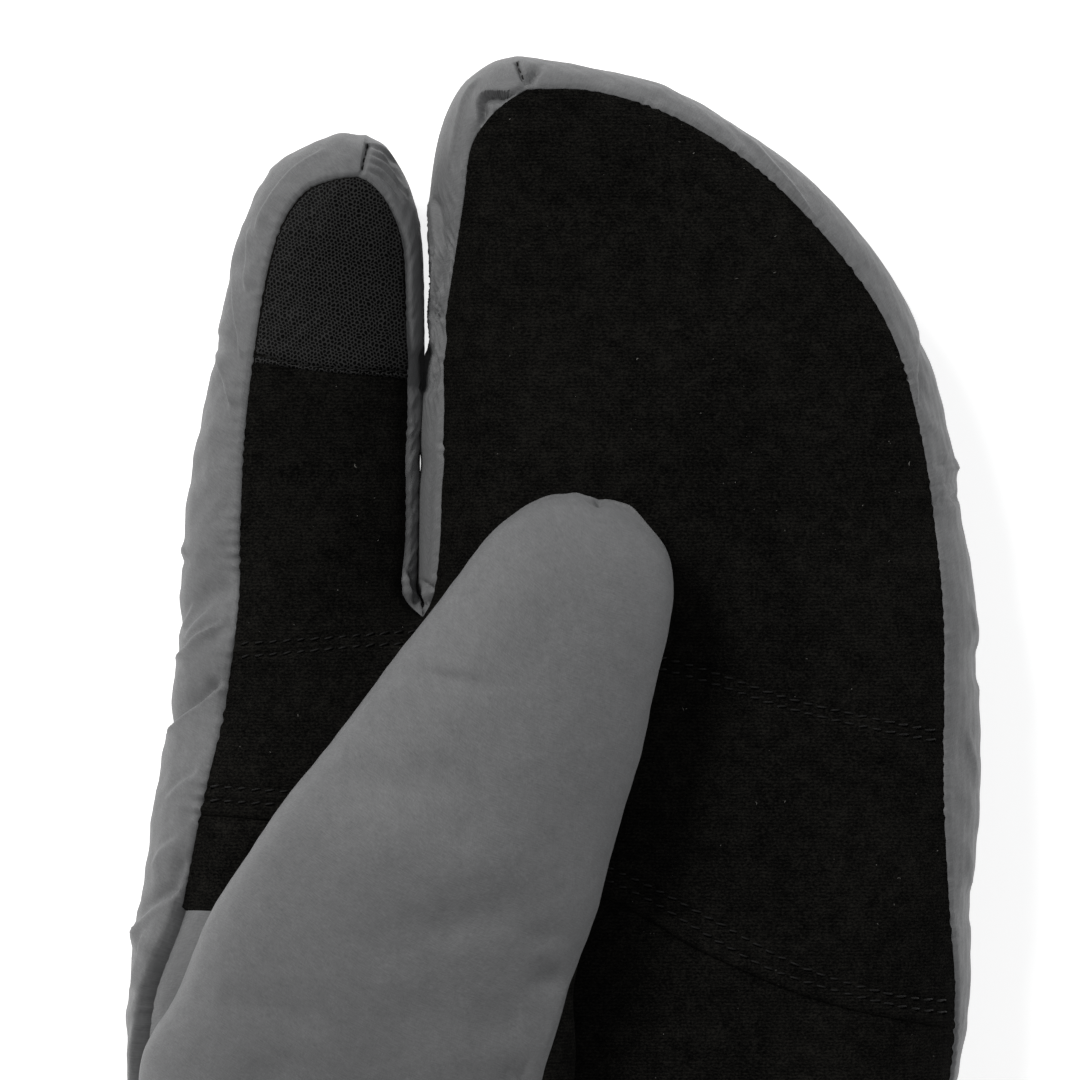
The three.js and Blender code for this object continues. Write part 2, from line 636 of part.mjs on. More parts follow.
addPiece('back_shell', back, greyShell);
addPiece('fork_gusset', forkGusset, greyShell);
addPiece('thumb_gusset', thumbGusset, greyShell);
addPiece('thumb_back', thumbBack, greyShell);
addPiece('cuff', shell.intersect(cuffZone), greyShell);
addPiece('palm_fingers', palmFingers, blackPalm);
addPiece('palm_knuckles', palmKnuckles, blackPalm);
addPiece('palm_heel', palmHeel, blackPalm);
addPiece('thumb_grip', thumbGrip, blackPalm);
addPiece('index_patch', indexPatch, blackLeather);

export default mitt;
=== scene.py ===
"""The looks of a lobster claw mitt, lying on its back with the palm up.

The hand is sewn as one surface from flat sheets of rows and columns, puffed up like a pillow
inside the mitt's outline. It is then pressed and creased, parted into its panels, and each
panel is given its wall. Lengths in the tables are shares of the mitt's size, and the shapes
are worked out in millimetres.
"""

import math

import bpy
import numpy as np
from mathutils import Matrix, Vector
from mathutils.bvhtree import BVHTree


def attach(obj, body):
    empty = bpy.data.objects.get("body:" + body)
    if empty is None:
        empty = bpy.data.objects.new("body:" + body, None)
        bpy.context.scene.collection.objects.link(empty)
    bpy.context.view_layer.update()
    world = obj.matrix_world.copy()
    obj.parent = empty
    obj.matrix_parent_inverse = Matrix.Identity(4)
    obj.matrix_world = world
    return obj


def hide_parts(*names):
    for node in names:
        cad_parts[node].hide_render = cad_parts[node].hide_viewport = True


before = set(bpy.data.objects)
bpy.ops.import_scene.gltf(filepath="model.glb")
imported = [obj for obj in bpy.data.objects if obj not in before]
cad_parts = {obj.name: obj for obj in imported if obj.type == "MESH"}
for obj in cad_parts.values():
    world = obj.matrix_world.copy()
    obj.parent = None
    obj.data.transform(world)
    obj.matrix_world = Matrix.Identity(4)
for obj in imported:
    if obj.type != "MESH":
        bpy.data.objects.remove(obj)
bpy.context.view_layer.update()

MM = 0.001
MITT_LENGTH = 290.0
HAND_WIDTH = 142.0
HAND_THICKNESS = 36.0
SIDE_STRIP = 6.0
WALL = 3.0
PILLOW_POWER = 2.2
THUMB_LENGTH = 150.0
THUMB_WIDTH = 60.0
THUMB_THICKNESS = 32.0
THUMB_ANGLE = math.radians(25.5)
THUMB_CLEARANCE = 1.5
THUMB_POWER = 2.3
THUMB_WALL = 2.4
SEAM_CLIMB = 0.75
WRIST = 0.229
FORK_BLEND = 0.09

# Rows and columns of the sheets
CUFF_ROWS = 40
GUSSET_ROWS = 100
HEEL_ROWS = 30
KNUCKLE_ROWS = 76
FINGER_ROWS = 240
FORK_ROWS = 6
GUSSET_COLUMNS = 18
INDEX_COLUMNS = 26
PALM_COLUMNS = 78
STRIP_COLUMNS = 38
INDEX_BACK_COLUMNS = 12
FINGERS_BACK_COLUMNS = 19
PATCH_ROWS = 150
PATCH_COLUMNS = 120
STITCH_RINGS = 7


# Camera

def set_camera():
    """A long lens straight above the palm, framed as the photograph is."""
    camera = bpy.data.cameras.new("palm_view")
    camera.lens = 300.0
    camera.sensor_width = 36.0
    camera.clip_start = 0.05
    camera.clip_end = 10.0
    camera.dof.use_dof = False
    holder = bpy.data.objects.new("palm_view", camera)
    holder.location = (-0.00233, 0.06467, 1.517)
    bpy.context.scene.collection.objects.link(holder)
    bpy.context.scene.camera = holder
    bpy.context.scene.view_settings.view_transform = "Standard"


set_camera()


# Tables of the mitt's shape

# along, left side, left strip, right side, right strip: the long edges up to the fork
HAND_EDGES = np.array([
    (0.0, -0.387, 0.2, 0.387, 0.12),
    (0.114, -0.371, 0.2, 0.371, 0.12),
    (0.229, -0.354, 0.2, 0.35, 0.12),
    (0.292, -0.406, 0.15, 0.373, 0.12),
    (0.349, -0.465, 0.12, 0.42, 0.12),
    (0.401, -0.495, 0.14, 0.466, 0.14),
    (0.459, -0.502, 0.56, 0.486, 0.37),
    (0.516, -0.487, 1.2, 0.492, 0.7),
    (0.574, -0.467, 1.33, 0.499, 1.03),
    (0.631, -0.448, 1.5, 0.5, 1.05),
    (0.683, -0.439, 1.65, 0.496, 0.97),
])
# side, along, strip
FORK = (-0.154, 0.686, 0.28)
INDEX_OUTER = [
    (-0.433, 0.74, 1.6), (-0.414, 0.792, 1.28), (-0.39, 0.855, 1.08), (-0.365, 0.904, 1.05),
    (-0.329, 0.9385, 1.22), (-0.262, 0.9548, 1.28), (-0.221, 0.955, 1.2),
]
INDEX_INNER = [
    (-0.16, 0.694, 0.34), (-0.1582, 0.723, 0.3), (-0.1572, 0.752, 0.31),
    (-0.1574, 0.7665, 0.32), (-0.1556, 0.781, 0.33), (-0.153, 0.8, 0.36),
    (-0.1518, 0.838, 0.42), (-0.1545, 0.89, 0.45),
    (-0.168, 0.924, 0.73), (-0.195, 0.947, 1.08), (-0.221, 0.955, 1.2),
]
FINGERS_INNER = [
    (-0.16, 0.694, 0.42), (-0.16, 0.723, 0.58), (-0.1592, 0.752, 0.61),
    (-0.1562, 0.7665, 0.6), (-0.1578, 0.781, 0.62), (-0.156, 0.8, 0.6), (-0.1532, 0.824, 0.52),
    (-0.146, 0.8375, 0.43), (-0.1478, 0.85, 0.45), (-0.1455, 0.878, 0.6),
    (-0.146, 0.918, 0.92), (-0.134, 0.956, 0.97), (-0.109, 0.982, 1.2), (-0.075, 0.996, 1.22),
    (-0.043, 1.0, 0.98),
]
FINGERS_OUTER = [
    (0.478, 0.74, 0.8), (0.459, 0.792, 0.77), (0.427, 0.8437, 0.75), (0.378, 0.8868, 0.82),
    (0.298, 0.93, 0.77), (0.228, 0.9557, 0.65), (0.137, 0.9816, 0.7), (0.042, 0.994, 0.68),
    (-0.043, 1.0, 0.98),
]
# along, middle, above, gap, round: heights as shares of the hand's thickness
HAND_HEIGHTS = np.array([
    (0.0, 0.6, 0.6, 0.0, 0.85), (0.229, 0.5, 0.52, 0.0, 0.72), (0.4, 0.47, 0.53, 0.0, 0.66),
    (0.6, 0.47, 0.53, 0.0, 0.6), (0.72, 0.475, 0.48, 0.02, 0.55),
    (0.88, 0.52, 0.43, 0.1, 0.48), (1.0, 0.58, 0.36, 0.23, 0.4),
])
# along, above, gap, round
INDEX_HEIGHTS = np.array([
    (0.0, 0.6, 0.0, 0.85), (0.229, 0.52, 0.0, 0.72), (0.4, 0.53, 0.0, 0.66),
    (0.6, 0.53, 0.0, 0.6), (0.72, 0.42, 0.07, 0.52), (0.86, 0.39, 0.12, 0.44),
    (0.96, 0.35, 0.2, 0.39),
])
# along, across, half, thick, sink
THUMB_ROWS = np.array([
    (0.0, 0.035, 0.0, 0.0, 0), (0.008, 0.02, 0.075, 0.14, 0), (0.027, 0.006, 0.168, 0.22, 0),
    (0.06, 0.005, 0.235, 0.3, 0), (0.1, 0.001, 0.278, 0.345, 0), (0.15, -0.001, 0.306, 0.375, 0),
    (0.2, -0.004, 0.3265, 0.39, 0), (0.3, -0.002, 0.378, 0.405, 0), (0.4, 0.0, 0.43, 0.42, 0.02),
    (0.5, -0.008, 0.482, 0.44, 0.1), (0.6, 0.03, 0.55, 0.47, 0.28),
    (0.7, 0.04, 0.557, 0.5, 0.52), (0.787, 0.035, 0.553, 0.48, 0.72),
    (0.847, 0.06, 0.49, 0.44, 0.93), (0.9, 0.08, 0.34, 0.35, 1.05),
    (0.935, 0.1, 0.15, 0.19, 1.0),
])
THUMB_TIP = (0.0725, 0.746)
# side, along
KNUCKLE_SEAM = [
    (-0.54, 0.655), (-0.386, 0.658), (-0.263, 0.664), (-0.146, 0.6695), (-0.005, 0.664),
    (0.136, 0.652), (0.277, 0.632), (0.406, 0.6155), (0.54, 0.602),
]
HEEL_SEAM = [
    (-0.54, 0.568), (-0.439, 0.567), (-0.31, 0.562), (-0.157, 0.546), (0.054, 0.52),
    (0.171, 0.489), (0.289, 0.464), (0.394, 0.4506), (0.54, 0.438),
]
GUSSET_TOP = 0.512
GUSSET_SEAM = [(-0.339, 0.512), (-0.239, 0.453), (-0.146, 0.372), (-0.089, 0.292), (-0.087, 0.2)]
BALL_LINE = [(-0.339, 0.512), (-0.1, 0.49), (0.171, 0.447), (0.394, 0.409), (0.54, 0.396)]
PATCH_EDGE = [(-0.5, 0.826), (-0.357, 0.8236), (-0.263, 0.818), (-0.1, 0.8125)]
# side, along, turn in degrees, length, width, depth: the main dents of the padding
DENTS = [
    (-0.415, 0.69, 37, 0.075, 0.03, 0.05), (-0.425, 0.622, 36, 0.09, 0.035, 0.09),
    (-0.45, 0.513, 45, 0.08, 0.035, 0.08), (-0.375, 0.862, 100, 0.1, 0.022, 0.05),
    (0.47, 0.735, 5, 0.05, 0.03, 0.06), (0.49, 0.6, -30, 0.06, 0.03, 0.06),
    (0.08, 0.38, 12, 0.3, 0.06, 0.03), (-0.25, 0.27, -20, 0.2, 0.05, 0.05),
    (0.25, 0.27, 15, 0.2, 0.05, 0.04),
]


# Curves and lines in plan

def plan(side, along):
    """A place in the tables as millimetres in plan."""
    return np.stack([np.asarray(side) * HAND_WIDTH, (np.asarray(along) - 0.5) * MITT_LENGTH], -1)


def through(knots, t):
    """A smooth curve through knots; t counts knots. Between two knots it is the cubic whose
    slope at each is half the step from the knot before to the knot after."""
    knots = np.asarray(knots, float)
    run = np.vstack([2 * knots[0] - knots[1], knots, 2 * knots[-1] - knots[-2]])
    i = np.clip(np.floor(t).astype(int), 0, len(knots) - 2)
    f = (t - i)[:, None]
    before, start, end, after = (run[i + k] for k in range(4))
    leave, arrive = (end - before) / 2, (after - start) / 2
    return ((2 * f**3 - 3 * f**2 + 1) * start + (f**3 - 2 * f**2 + f) * leave
            + (3 * f**2 - 2 * f**3) * end + (f**3 - f**2) * arrive)


def read_table(rows, column, along):
    """A table's column at places along it: a cubic between rows, with the slope at each row
    taken from the rows on both sides of it."""
    places, values = rows[:, 0], rows[:, column]
    slopes = np.empty_like(values)
    slopes[1:-1] = (values[2:] - values[:-2]) / (places[2:] - places[:-2])
    slopes[0] = (values[1] - values[0]) / (places[1] - places[0])
    slopes[-1] = (values[-1] - values[-2]) / (places[-1] - places[-2])
    i = np.clip(np.searchsorted(places, along) - 1, 0, len(places) - 2)
    span = places[i + 1] - places[i]
    t = np.clip((along - places[i]) / span, 0, 1)
    rise = values[i + 1] - values[i]
    leave, arrive = slopes[i] * span - rise, slopes[i + 1] * span - rise
    return values[i] + rise * t + t * (1 - t) * (leave * (1 - t) - arrive * t)


def smooth_step(low, high, value):
    """0 below low, 1 above high, and 3t squared less 2t cubed between."""
    t = np.clip((value - low) / (high - low), 0, 1)
    return t * t * (3 - 2 * t)


def unit(vectors):
    return vectors / np.maximum(np.linalg.norm(vectors, axis=-1, keepdims=True), 1e-9)


def waves(seed, *coordinates, length, count=14, spread=0.35):
    """A soft random field: a sum of sine waves of about one length, in random directions."""
    draw = np.random.default_rng(seed)
    total = np.zeros_like(coordinates[0])
    for _ in range(count):
        aim = draw.normal(size=len(coordinates))
        aim /= np.linalg.norm(aim)
        turn = 2 * math.pi / (length * math.exp(draw.normal() * spread))
        phase = draw.uniform(0, 2 * math.pi)
        total += np.sin(turn * sum(k * c for k, c in zip(aim, coordinates)) + phase)
    return total * math.sqrt(2 / count)


def gathers(run, seed):
    """Small gathers along a seam, two or three millimetres apart."""
    fine = waves(seed, run, length=2.1, count=8, spread=0.2)
    slow = waves(seed + 1, run, length=14, count=6)
    return fine * (0.6 + 0.4 * slow)


INDEX_TIP_AIM = (-0.127, -0.992)
FINGERS_TIP_AIM = (0.28, -0.96)


def lengths(line):
    """Distance along a line of points, from its first."""
    steps = np.linalg.norm(np.diff(line, axis=0), axis=1)
    return np.concatenate([[0.0], np.cumsum(steps)])


def make_edge(rows, inside, first_finger_knot, tip_aim, seed):
    """An edge as columns x, y, strip, inward x and y, square x and y, at 2000 places. The
    inward direction is square to the edge, and swings to a shared aim at a fingertip, where
    two edges meet, and straight down at the fork. The palm's edge beside it is a smooth
    curve too, drawn in and out a little by the seam's gathers."""
    knots = np.column_stack([plan([r[0] for r in rows], [r[1] for r in rows]),
                             [r[2] * SIDE_STRIP for r in rows]])
    t = np.linspace(0, len(rows) - 1, 2000)
    line = through(knots, t)
    ahead = unit(np.gradient(line[:, :2], axis=0))
    square = np.column_stack([ahead[:, 1], -ahead[:, 0]]) * inside
    up = (t - first_finger_knot) / (len(rows) - 1 - first_finger_knot)
    swing = np.clip(1 - (1 - up) * 14 / 4, 0, 1)[:, None]
    inward = square * (1 - swing) + np.array(tip_aim) * swing
    if first_finger_knot == 0:
        swing = np.clip(1 - up * 14, 0, 1)[:, None]
        inward = inward * (1 - swing) + np.array([0.0, -1.0]) * swing
    run = lengths(line[:, :2])
    palm = line[:, :2] + unit(inward) * line[:, 2:3]
    palm = through(np.column_stack([np.interp(np.arange(len(rows)), t, palm[:, k])
                                    for k in (0, 1)]), t)
    strip = np.linalg.norm(palm - line[:, :2], axis=1)[:, None]
    inward = (palm - line[:, :2]) / strip
    free = smooth_step(0, 5, run) * smooth_step(0, 5, run[-1] - run)
    free = free * smooth_step(-90, -70, line[:, 1])
    strip = strip + 0.05 * (gathers(run, seed) * free)[:, None]
    return np.column_stack([line[:, :2], strip, inward, square])


def drawn_in(edge, share=1.0):
    """The edge moved into the mitt by a share of its strip."""
    return edge[:, :2] + edge[:, 3:5] * edge[:, 2:3] * share


def spaced(line, start, end, steps):
    """steps + 1 evenly spaced rows of a line between two distances along it."""
    run = lengths(line[:, :2])
    at = np.linspace(start, end, steps + 1)
    return np.column_stack([np.interp(at, run, line[:, k]) for k in range(line.shape[1])])


def seam_line(rows):
    rows = np.array(rows)
    return through(plan(rows[:, 0], rows[:, 1]), np.linspace(0, len(rows) - 1, 800))


def crossing(edge, seam):
    """Distance along an edge at which the palm's edge beside it rises past a seam."""
    palm = drawn_in(edge)
    over = palm[:, 1] - np.interp(palm[:, 0], seam[:, 0], seam[:, 1])
    return lengths(edge[:, :2])[np.argmax(over > 0)]


def between(line, start, end, steps):
    """The part of a seam from one x to another, in even steps."""
    keep = (line[:, 0] > start[0]) & (line[:, 0] < end[0])
    part = np.vstack([start, line[keep], end])
    return spaced(part, 0, lengths(part)[-1], steps)


def coons(left, right, bottom, top):
    """A sheet inside four lines: what the left and right lines give, plus what the bottom
    and top give, less what the four corners give."""
    v = np.linspace(0, 1, len(left))[:, None, None]
    u = np.linspace(0, 1, len(bottom))[None, :, None]
    sides = (1 - u) * left[:, None] + u * right[:, None]
    ends = (1 - v) * bottom[None] + v * top[None]
    corners = ((1 - u) * (1 - v) * bottom[0] + u * (1 - v) * bottom[-1]
               + (1 - u) * v * top[0] + u * v * top[-1])
    return sides + ends - corners


# The outline, its rows, and the seams across the palm

left_rows = [(r[1], r[0], r[2]) for r in HAND_EDGES]
right_rows = [(r[3], r[0], r[4]) for r in HAND_EDGES]
left_edge = make_edge(left_rows + INDEX_OUTER, 1, len(left_rows) - 1, INDEX_TIP_AIM, 12)
right_edge = make_edge(right_rows + FINGERS_OUTER, -1, len(right_rows) - 1, FINGERS_TIP_AIM, 22)
index_inner = make_edge([FORK] + INDEX_INNER, -1, 0, INDEX_TIP_AIM, 32)
fingers_inner = make_edge([FORK] + FINGERS_INNER, 1, 0, FINGERS_TIP_AIM, 42)

knuckle_seam = seam_line(KNUCKLE_SEAM)
heel_seam = seam_line(HEEL_SEAM)
ball_line = seam_line(BALL_LINE)
gusset_seam = seam_line(GUSSET_SEAM)
level = lambda along: np.array([[-999.0, plan(0, along)[1]], [999.0, plan(0, along)[1]]])

ROW_STOPS = np.cumsum([0, GUSSET_ROWS, HEEL_ROWS, KNUCKLE_ROWS, FINGER_ROWS])
BALL_ROW, HEEL_ROW, KNUCKLE_ROW, TIP_ROW = ROW_STOPS[1:]
FORK_ROW = KNUCKLE_ROW + FORK_ROWS


def edge_rows(edge, seams):
    """An edge from the cuff's mouth to the fingertip: even rows between the places where
    seams cross it, the cuff's first."""
    stops = [0.0] + [crossing(edge, seam) for seam in seams] + [lengths(edge[:, :2])[-1]]
    counts = [CUFF_ROWS, GUSSET_ROWS, HEEL_ROWS, KNUCKLE_ROWS, FINGER_ROWS]
    parts = [spaced(edge, a, b, n)[:-1] for a, b, n in zip(stops[:-1], stops[1:], counts)]
    return np.vstack(parts + [edge[-1:]])


left = edge_rows(left_edge, [level(WRIST), level(GUSSET_TOP), heel_seam, knuckle_seam])
right = edge_rows(right_edge, [level(WRIST), ball_line, heel_seam, knuckle_seam])
index_run = spaced(index_inner, 0, lengths(index_inner[:, :2])[-1], TIP_ROW - FORK_ROW)
fingers_run = spaced(fingers_inner, 0, lengths(fingers_inner[:, :2])[-1], TIP_ROW - FORK_ROW)

OUTLINE = np.vstack([
    left_edge[:1, :2] + (0, -80), left_edge[::16, :2], left_edge[-1:, :2],
    index_inner[::-20, :2], fingers_inner[20::20, :2], fingers_inner[-1:, :2],
    right_edge[::-16, :2], right_edge[:1, :2], right_edge[:1, :2] + (0, -80),
])
MOUTH = plan(0, 0)
FORK_PLAN = plan(FORK[0], FORK[1])


# The pillow

def smooth_distance(x, y):
    """Distance in from the outline, without a ridge along its middle: the cube root of half
    pi over the sum, along the outline, of its length over the fourth power of the distance
    to it. Beside one straight edge that is the true distance."""
    total = np.zeros_like(x)
    for a, b in zip(OUTLINE[:-1], OUTLINE[1:]):
        length = np.hypot(*(b - a))
        if length < 1e-6:
            continue
        ahead = (b - a) / length
        start = (x - a[0]) * ahead[0] + (y - a[1]) * ahead[1]
        off = np.maximum(np.abs((y - a[1]) * ahead[0] - (x - a[0]) * ahead[1]), 0.01)
        total += sum(
            sign * (s / (2 * off**2 * (off**2 + s**2)) + np.arctan(s / off) / (2 * off**3))
            for sign, s in ((1, length - start), (-1, -start)))
    return np.cbrt(math.pi / 2 / np.maximum(total, 1e-9))


def dent_depth(x, y):
    """The main dents, each fading from its middle line as a bell curve."""
    total = np.zeros_like(x)
    for side, along, turn, length, width, depth in DENTS:
        cx, cy = plan(side, along)
        c, s = math.cos(math.radians(turn)), math.sin(math.radians(turn))
        lengthwise = ((x - cx) * c + (y - cy) * s) / (length * HAND_WIDTH)
        across = ((y - cy) * c - (x - cx) * s) / (width * HAND_WIDTH)
        total += depth * HAND_THICKNESS * np.exp(-lengthwise**2 - across**2)
    return total


def pillow(x, y, palm_side, distance=None):
    """Height of the palm or of the back over the rest plane. It rises from the outline as a
    rounded shoulder, one less the power of what is left of the way in, and is flat past it."""
    along = y / MITT_LENGTH + 0.5
    climb = np.minimum((y - MOUTH[1]) / (FORK_PLAN[1] - MOUTH[1]), 1)
    divide = MOUTH[0] + (FORK_PLAN[0] - MOUTH[0]) * climb
    reach = FORK_BLEND * HAND_WIDTH
    share = smooth_step(divide - reach, divide + reach, x)
    column = lambda finger, hand: HAND_THICKNESS * (
        read_table(INDEX_HEIGHTS, finger, along) * (1 - share)
        + read_table(HAND_HEIGHTS, hand, along) * share)
    middle = HAND_THICKNESS * read_table(HAND_HEIGHTS, 1, along)
    if distance is None:
        distance = smooth_distance(x, y)
    inwards = np.clip(distance / column(3, 4), 0, 1)
    swell = (1 - (1 - inwards) ** PILLOW_POWER) ** (1 / PILLOW_POWER)
    dent = dent_depth(x, y) * swell
    if palm_side:
        return middle + column(1, 2) * swell - dent
    return middle - (middle - np.maximum(column(2, 3), 0)) * swell + dent * (1 - inwards)


# Sheets: rows run to the fingertips, columns across

class Sheet:
    """A grid of base points in millimetres, with what is known of each point."""

    def __init__(self, name, points, flip=False):
        self.name, self.points, self.flip = name, points, flip
        self.shape = points.shape[:2]
        self.up = np.zeros(self.shape)
        self.up[1:] = np.cumsum(np.linalg.norm(np.diff(points, axis=0), axis=2), axis=0)
        self.over = np.zeros(self.shape)
        self.over[:, 1:] = np.cumsum(np.linalg.norm(np.diff(points, axis=1), axis=2), axis=1)
        self.lift = np.zeros(self.shape)
        self.panel = np.full((self.shape[0] - 1, self.shape[1] - 1), "", dtype=object)


def raised(xy, palm_side, off_rim=0.0, trust=0.0):
    """A flat sheet lifted to the palm's or the back's height. Close to the outline the
    distance from it is known, and is trusted more than the smooth one."""
    distance = smooth_distance(xy[..., 0], xy[..., 1]) * (1 - trust) + off_rim * trust
    return np.dstack([xy, pillow(xy[..., 0], xy[..., 1], palm_side, distance)])


def strip_sheet(rows, edge, palm_side):
    """From an inner edge out to the outline, in steps that grow short where the cloth turns
    over, and at the outline itself at the height where palm and back meet."""
    share = 1 - (1 - np.linspace(0, 1, STRIP_COLUMNS + 1)) ** 1.5
    rim, edge = rows[:, None, :2], edge[:, None]
    xy = edge + (rim - edge) * share[None, :, None]
    sheet = raised(xy, palm_side, np.linalg.norm(xy - rim, axis=2), smooth_step(0.3, 0.9, share))
    sheet[:, -1, 2] = HAND_THICKNESS * read_table(HAND_HEIGHTS, 1, rows[:, 1] / MITT_LENGTH + 0.5)
    return sheet


def side_sheet(name, rows, inner, back_columns, flip):
    """From the palm's edge over the outline, then under the back to an inner line."""
    under = (1 - np.cos(math.pi * np.linspace(0, 1, back_columns + 1))) / 2
    rim = rows[:, None, :2]
    xy = rim + (inner[:, None] - rim) * under[None, :, None]
    off_rim = np.abs(((xy - rim) * rows[:, None, 5:7]).sum(axis=2))
    low = raised(xy, False, off_rim, 1 - smooth_step(0.02, 0.3, under))
    top = strip_sheet(rows, drawn_in(rows), True)
    return Sheet(name, np.concatenate([top, low[:, 1:]], axis=1), flip)


def build_sheets():
    """All the hand's sheets and the cuff's, with shared rows where they meet."""
    e_left, e_right = drawn_in(left), drawn_in(right)
    e_index, e_fingers = drawn_in(index_run), drawn_in(fingers_run)
    hand_left, hand_right = e_left[CUFF_ROWS:], e_right[CUFF_ROWS:]
    corner = plan(*GUSSET_SEAM[0])
    wrist_y = plan(0, WRIST)[1]
    run = gusset_seam[gusset_seam[:, 1] > wrist_y]
    diagonal = spaced(run, 0, lengths(run)[-1], GUSSET_ROWS)[::-1]
    diagonal[0, 1] = wrist_y
    across = lambda a, b, n: a + (b - a) * np.linspace(0, 1, n + 1)[:, None]
    rest = PALM_COLUMNS - GUSSET_COLUMNS
    fingers = PALM_COLUMNS - INDEX_COLUMNS

    # lower palm, from the wrist to the knuckle seam
    wrist_a = across(hand_left[0], diagonal[0], GUSSET_COLUMNS)
    wrist_b = across(diagonal[0], hand_right[0], rest)
    ball_a = across(hand_left[BALL_ROW], corner, GUSSET_COLUMNS)
    ball_b = between(ball_line, corner, hand_right[BALL_ROW], rest)
    heel = between(heel_seam, hand_left[HEEL_ROW], hand_right[HEEL_ROW], PALM_COLUMNS)
    neck_x = e_index[0][0]
    neck = np.array([neck_x, np.interp(neck_x, knuckle_seam[:, 0], knuckle_seam[:, 1])])
    knuckle_a = between(knuckle_seam, hand_left[KNUCKLE_ROW], neck, INDEX_COLUMNS)
    knuckle_b = between(knuckle_seam, neck, hand_right[KNUCKLE_ROW], fingers)
    knuckle = np.vstack([knuckle_a, knuckle_b[1:]])
    gusset = coons(hand_left[:BALL_ROW + 1], diagonal, wrist_a, ball_a)
    lower = coons(diagonal, hand_right[:BALL_ROW + 1], wrist_b, ball_b)
    upper = coons(hand_left[BALL_ROW:HEEL_ROW + 1], hand_right[BALL_ROW:HEEL_ROW + 1],
                  np.vstack([ball_a, ball_b[1:]]), heel)
    band = coons(hand_left[HEEL_ROW:KNUCKLE_ROW + 1], hand_right[HEEL_ROW:KNUCKLE_ROW + 1],
                 heel, knuckle)
    flat = np.vstack([np.concatenate([gusset, lower[:, 1:]], axis=1), upper[1:], band[1:]])
    palm = Sheet("palm", raised(flat, True))
    palm.panel[:] = "palm_heel"
    palm.panel[:BALL_ROW, :GUSSET_COLUMNS] = "thumb_gusset"
    palm.panel[HEEL_ROW:] = "palm_knuckles"

    # the two lobes above the knuckle seam, joined by the neck below the fork
    throat = across(neck, e_index[0], FORK_ROWS)
    lobe_a = coons(hand_left[KNUCKLE_ROW:], np.vstack([throat[:-1], e_index]), knuckle_a,
                   np.repeat(hand_left[-1:], INDEX_COLUMNS + 1, axis=0))
    lobe_b = coons(np.vstack([throat[:-1], e_fingers]), hand_right[KNUCKLE_ROW:], knuckle_b,
                   np.repeat(hand_right[-1:], fingers + 1, axis=0))
    index_palm = Sheet("index_palm", raised(lobe_a, True))
    fingers_palm = Sheet("fingers_palm", raised(lobe_b, True))
    index_palm.panel[:] = fingers_palm.panel[:] = "palm_fingers"

    # the back, from the palm's edge round each side
    low_y = (left[:CUFF_ROWS + FORK_ROW, 1] + right[:CUFF_ROWS + FORK_ROW, 1]) / 2
    low_y = np.interp(low_y, [low_y[0], low_y[-1]], [MOUTH[1], e_index[0][1] - 0.8])
    climb = (low_y - MOUTH[1]) / (FORK_PLAN[1] - MOUTH[1])
    middle = np.column_stack([FORK_PLAN[0] * climb, low_y])
    taper = smooth_step(0, 40, np.arange(TIP_ROW - FORK_ROW + 1)[::-1])[:, None]
    low_index = index_run[:, :2] + (e_index - index_run[:, :2]) * taper
    low_fingers = fingers_run[:, :2] + (e_fingers - fingers_run[:, :2]) * taper
    left_side = side_sheet("left_side", left, np.vstack([middle, low_index]),
                           INDEX_BACK_COLUMNS, True)
    right_side = side_sheet("right_side", right, np.vstack([middle, low_fingers]),
                            FINGERS_BACK_COLUMNS, False)
    for sheet in (left_side, right_side):
        sheet.panel[:] = "back_shell"
        sheet.panel[:CUFF_ROWS] = "cuff"

    # the cuff's palm side keeps the wrist's share of the width for each column
    shares = (flat[0, :, 0] - flat[0, 0, 0]) / (flat[0, -1, 0] - flat[0, 0, 0])
    a, b = e_left[:CUFF_ROWS + 1, None], e_right[:CUFF_ROWS + 1, None]
    cuff = Sheet("cuff_palm", raised(a + (b - a) * shares[None, :, None], True))
    cuff.panel[:] = "cuff"

    # the fork gusset, from one fingertip down to the fork and up to the other; under the
    # fingers it narrows to a point at each tip
    walls = np.vstack([index_run[::-1], fingers_run[1:]])
    top = strip_sheet(walls, drawn_in(walls), True)
    low = strip_sheet(walls, np.vstack([low_index[::-1], low_fingers[1:]]), False)[:, ::-1]
    fork = Sheet("fork", np.concatenate([top, low[:, 1:]], axis=1), True)
    fork.panel[:] = "fork_gusset"
    return [palm, index_palm, fingers_palm, left_side, right_side, cuff, fork]


sheets = build_sheets()
by_name = {sheet.name: sheet for sheet in sheets}


# Making meshes

def triangles_of(sheet, first):
    """Two triangles for each cell of a grid, and the name of the panel each belongs to."""
    rows, columns = sheet.shape
    grid = first + np.arange(rows * columns).reshape(rows, columns)
    a, b, c, d = grid[:-1, :-1], grid[:-1, 1:], grid[1:, 1:], grid[1:, :-1]
    pairs = np.stack([np.stack([a, b, c], -1), np.stack([a, c, d], -1)], axis=2)
    if sheet.flip:
        pairs = pairs[..., ::-1]
    return pairs.reshape(-1, 3), np.repeat(sheet.panel.ravel(), 2)


def point_normals(points, triangles):
    """For each point, the sum of its triangles' normals, each as long as its area."""
    a, b, c = (points[triangles[:, k]] for k in range(3))
    faces = np.cross(b - a, c - a)
    total = np.zeros_like(points)
    for k in range(3):
        for axis in range(3):
            total[:, axis] += np.bincount(triangles[:, k], faces[:, axis], len(points))
    return unit(total)


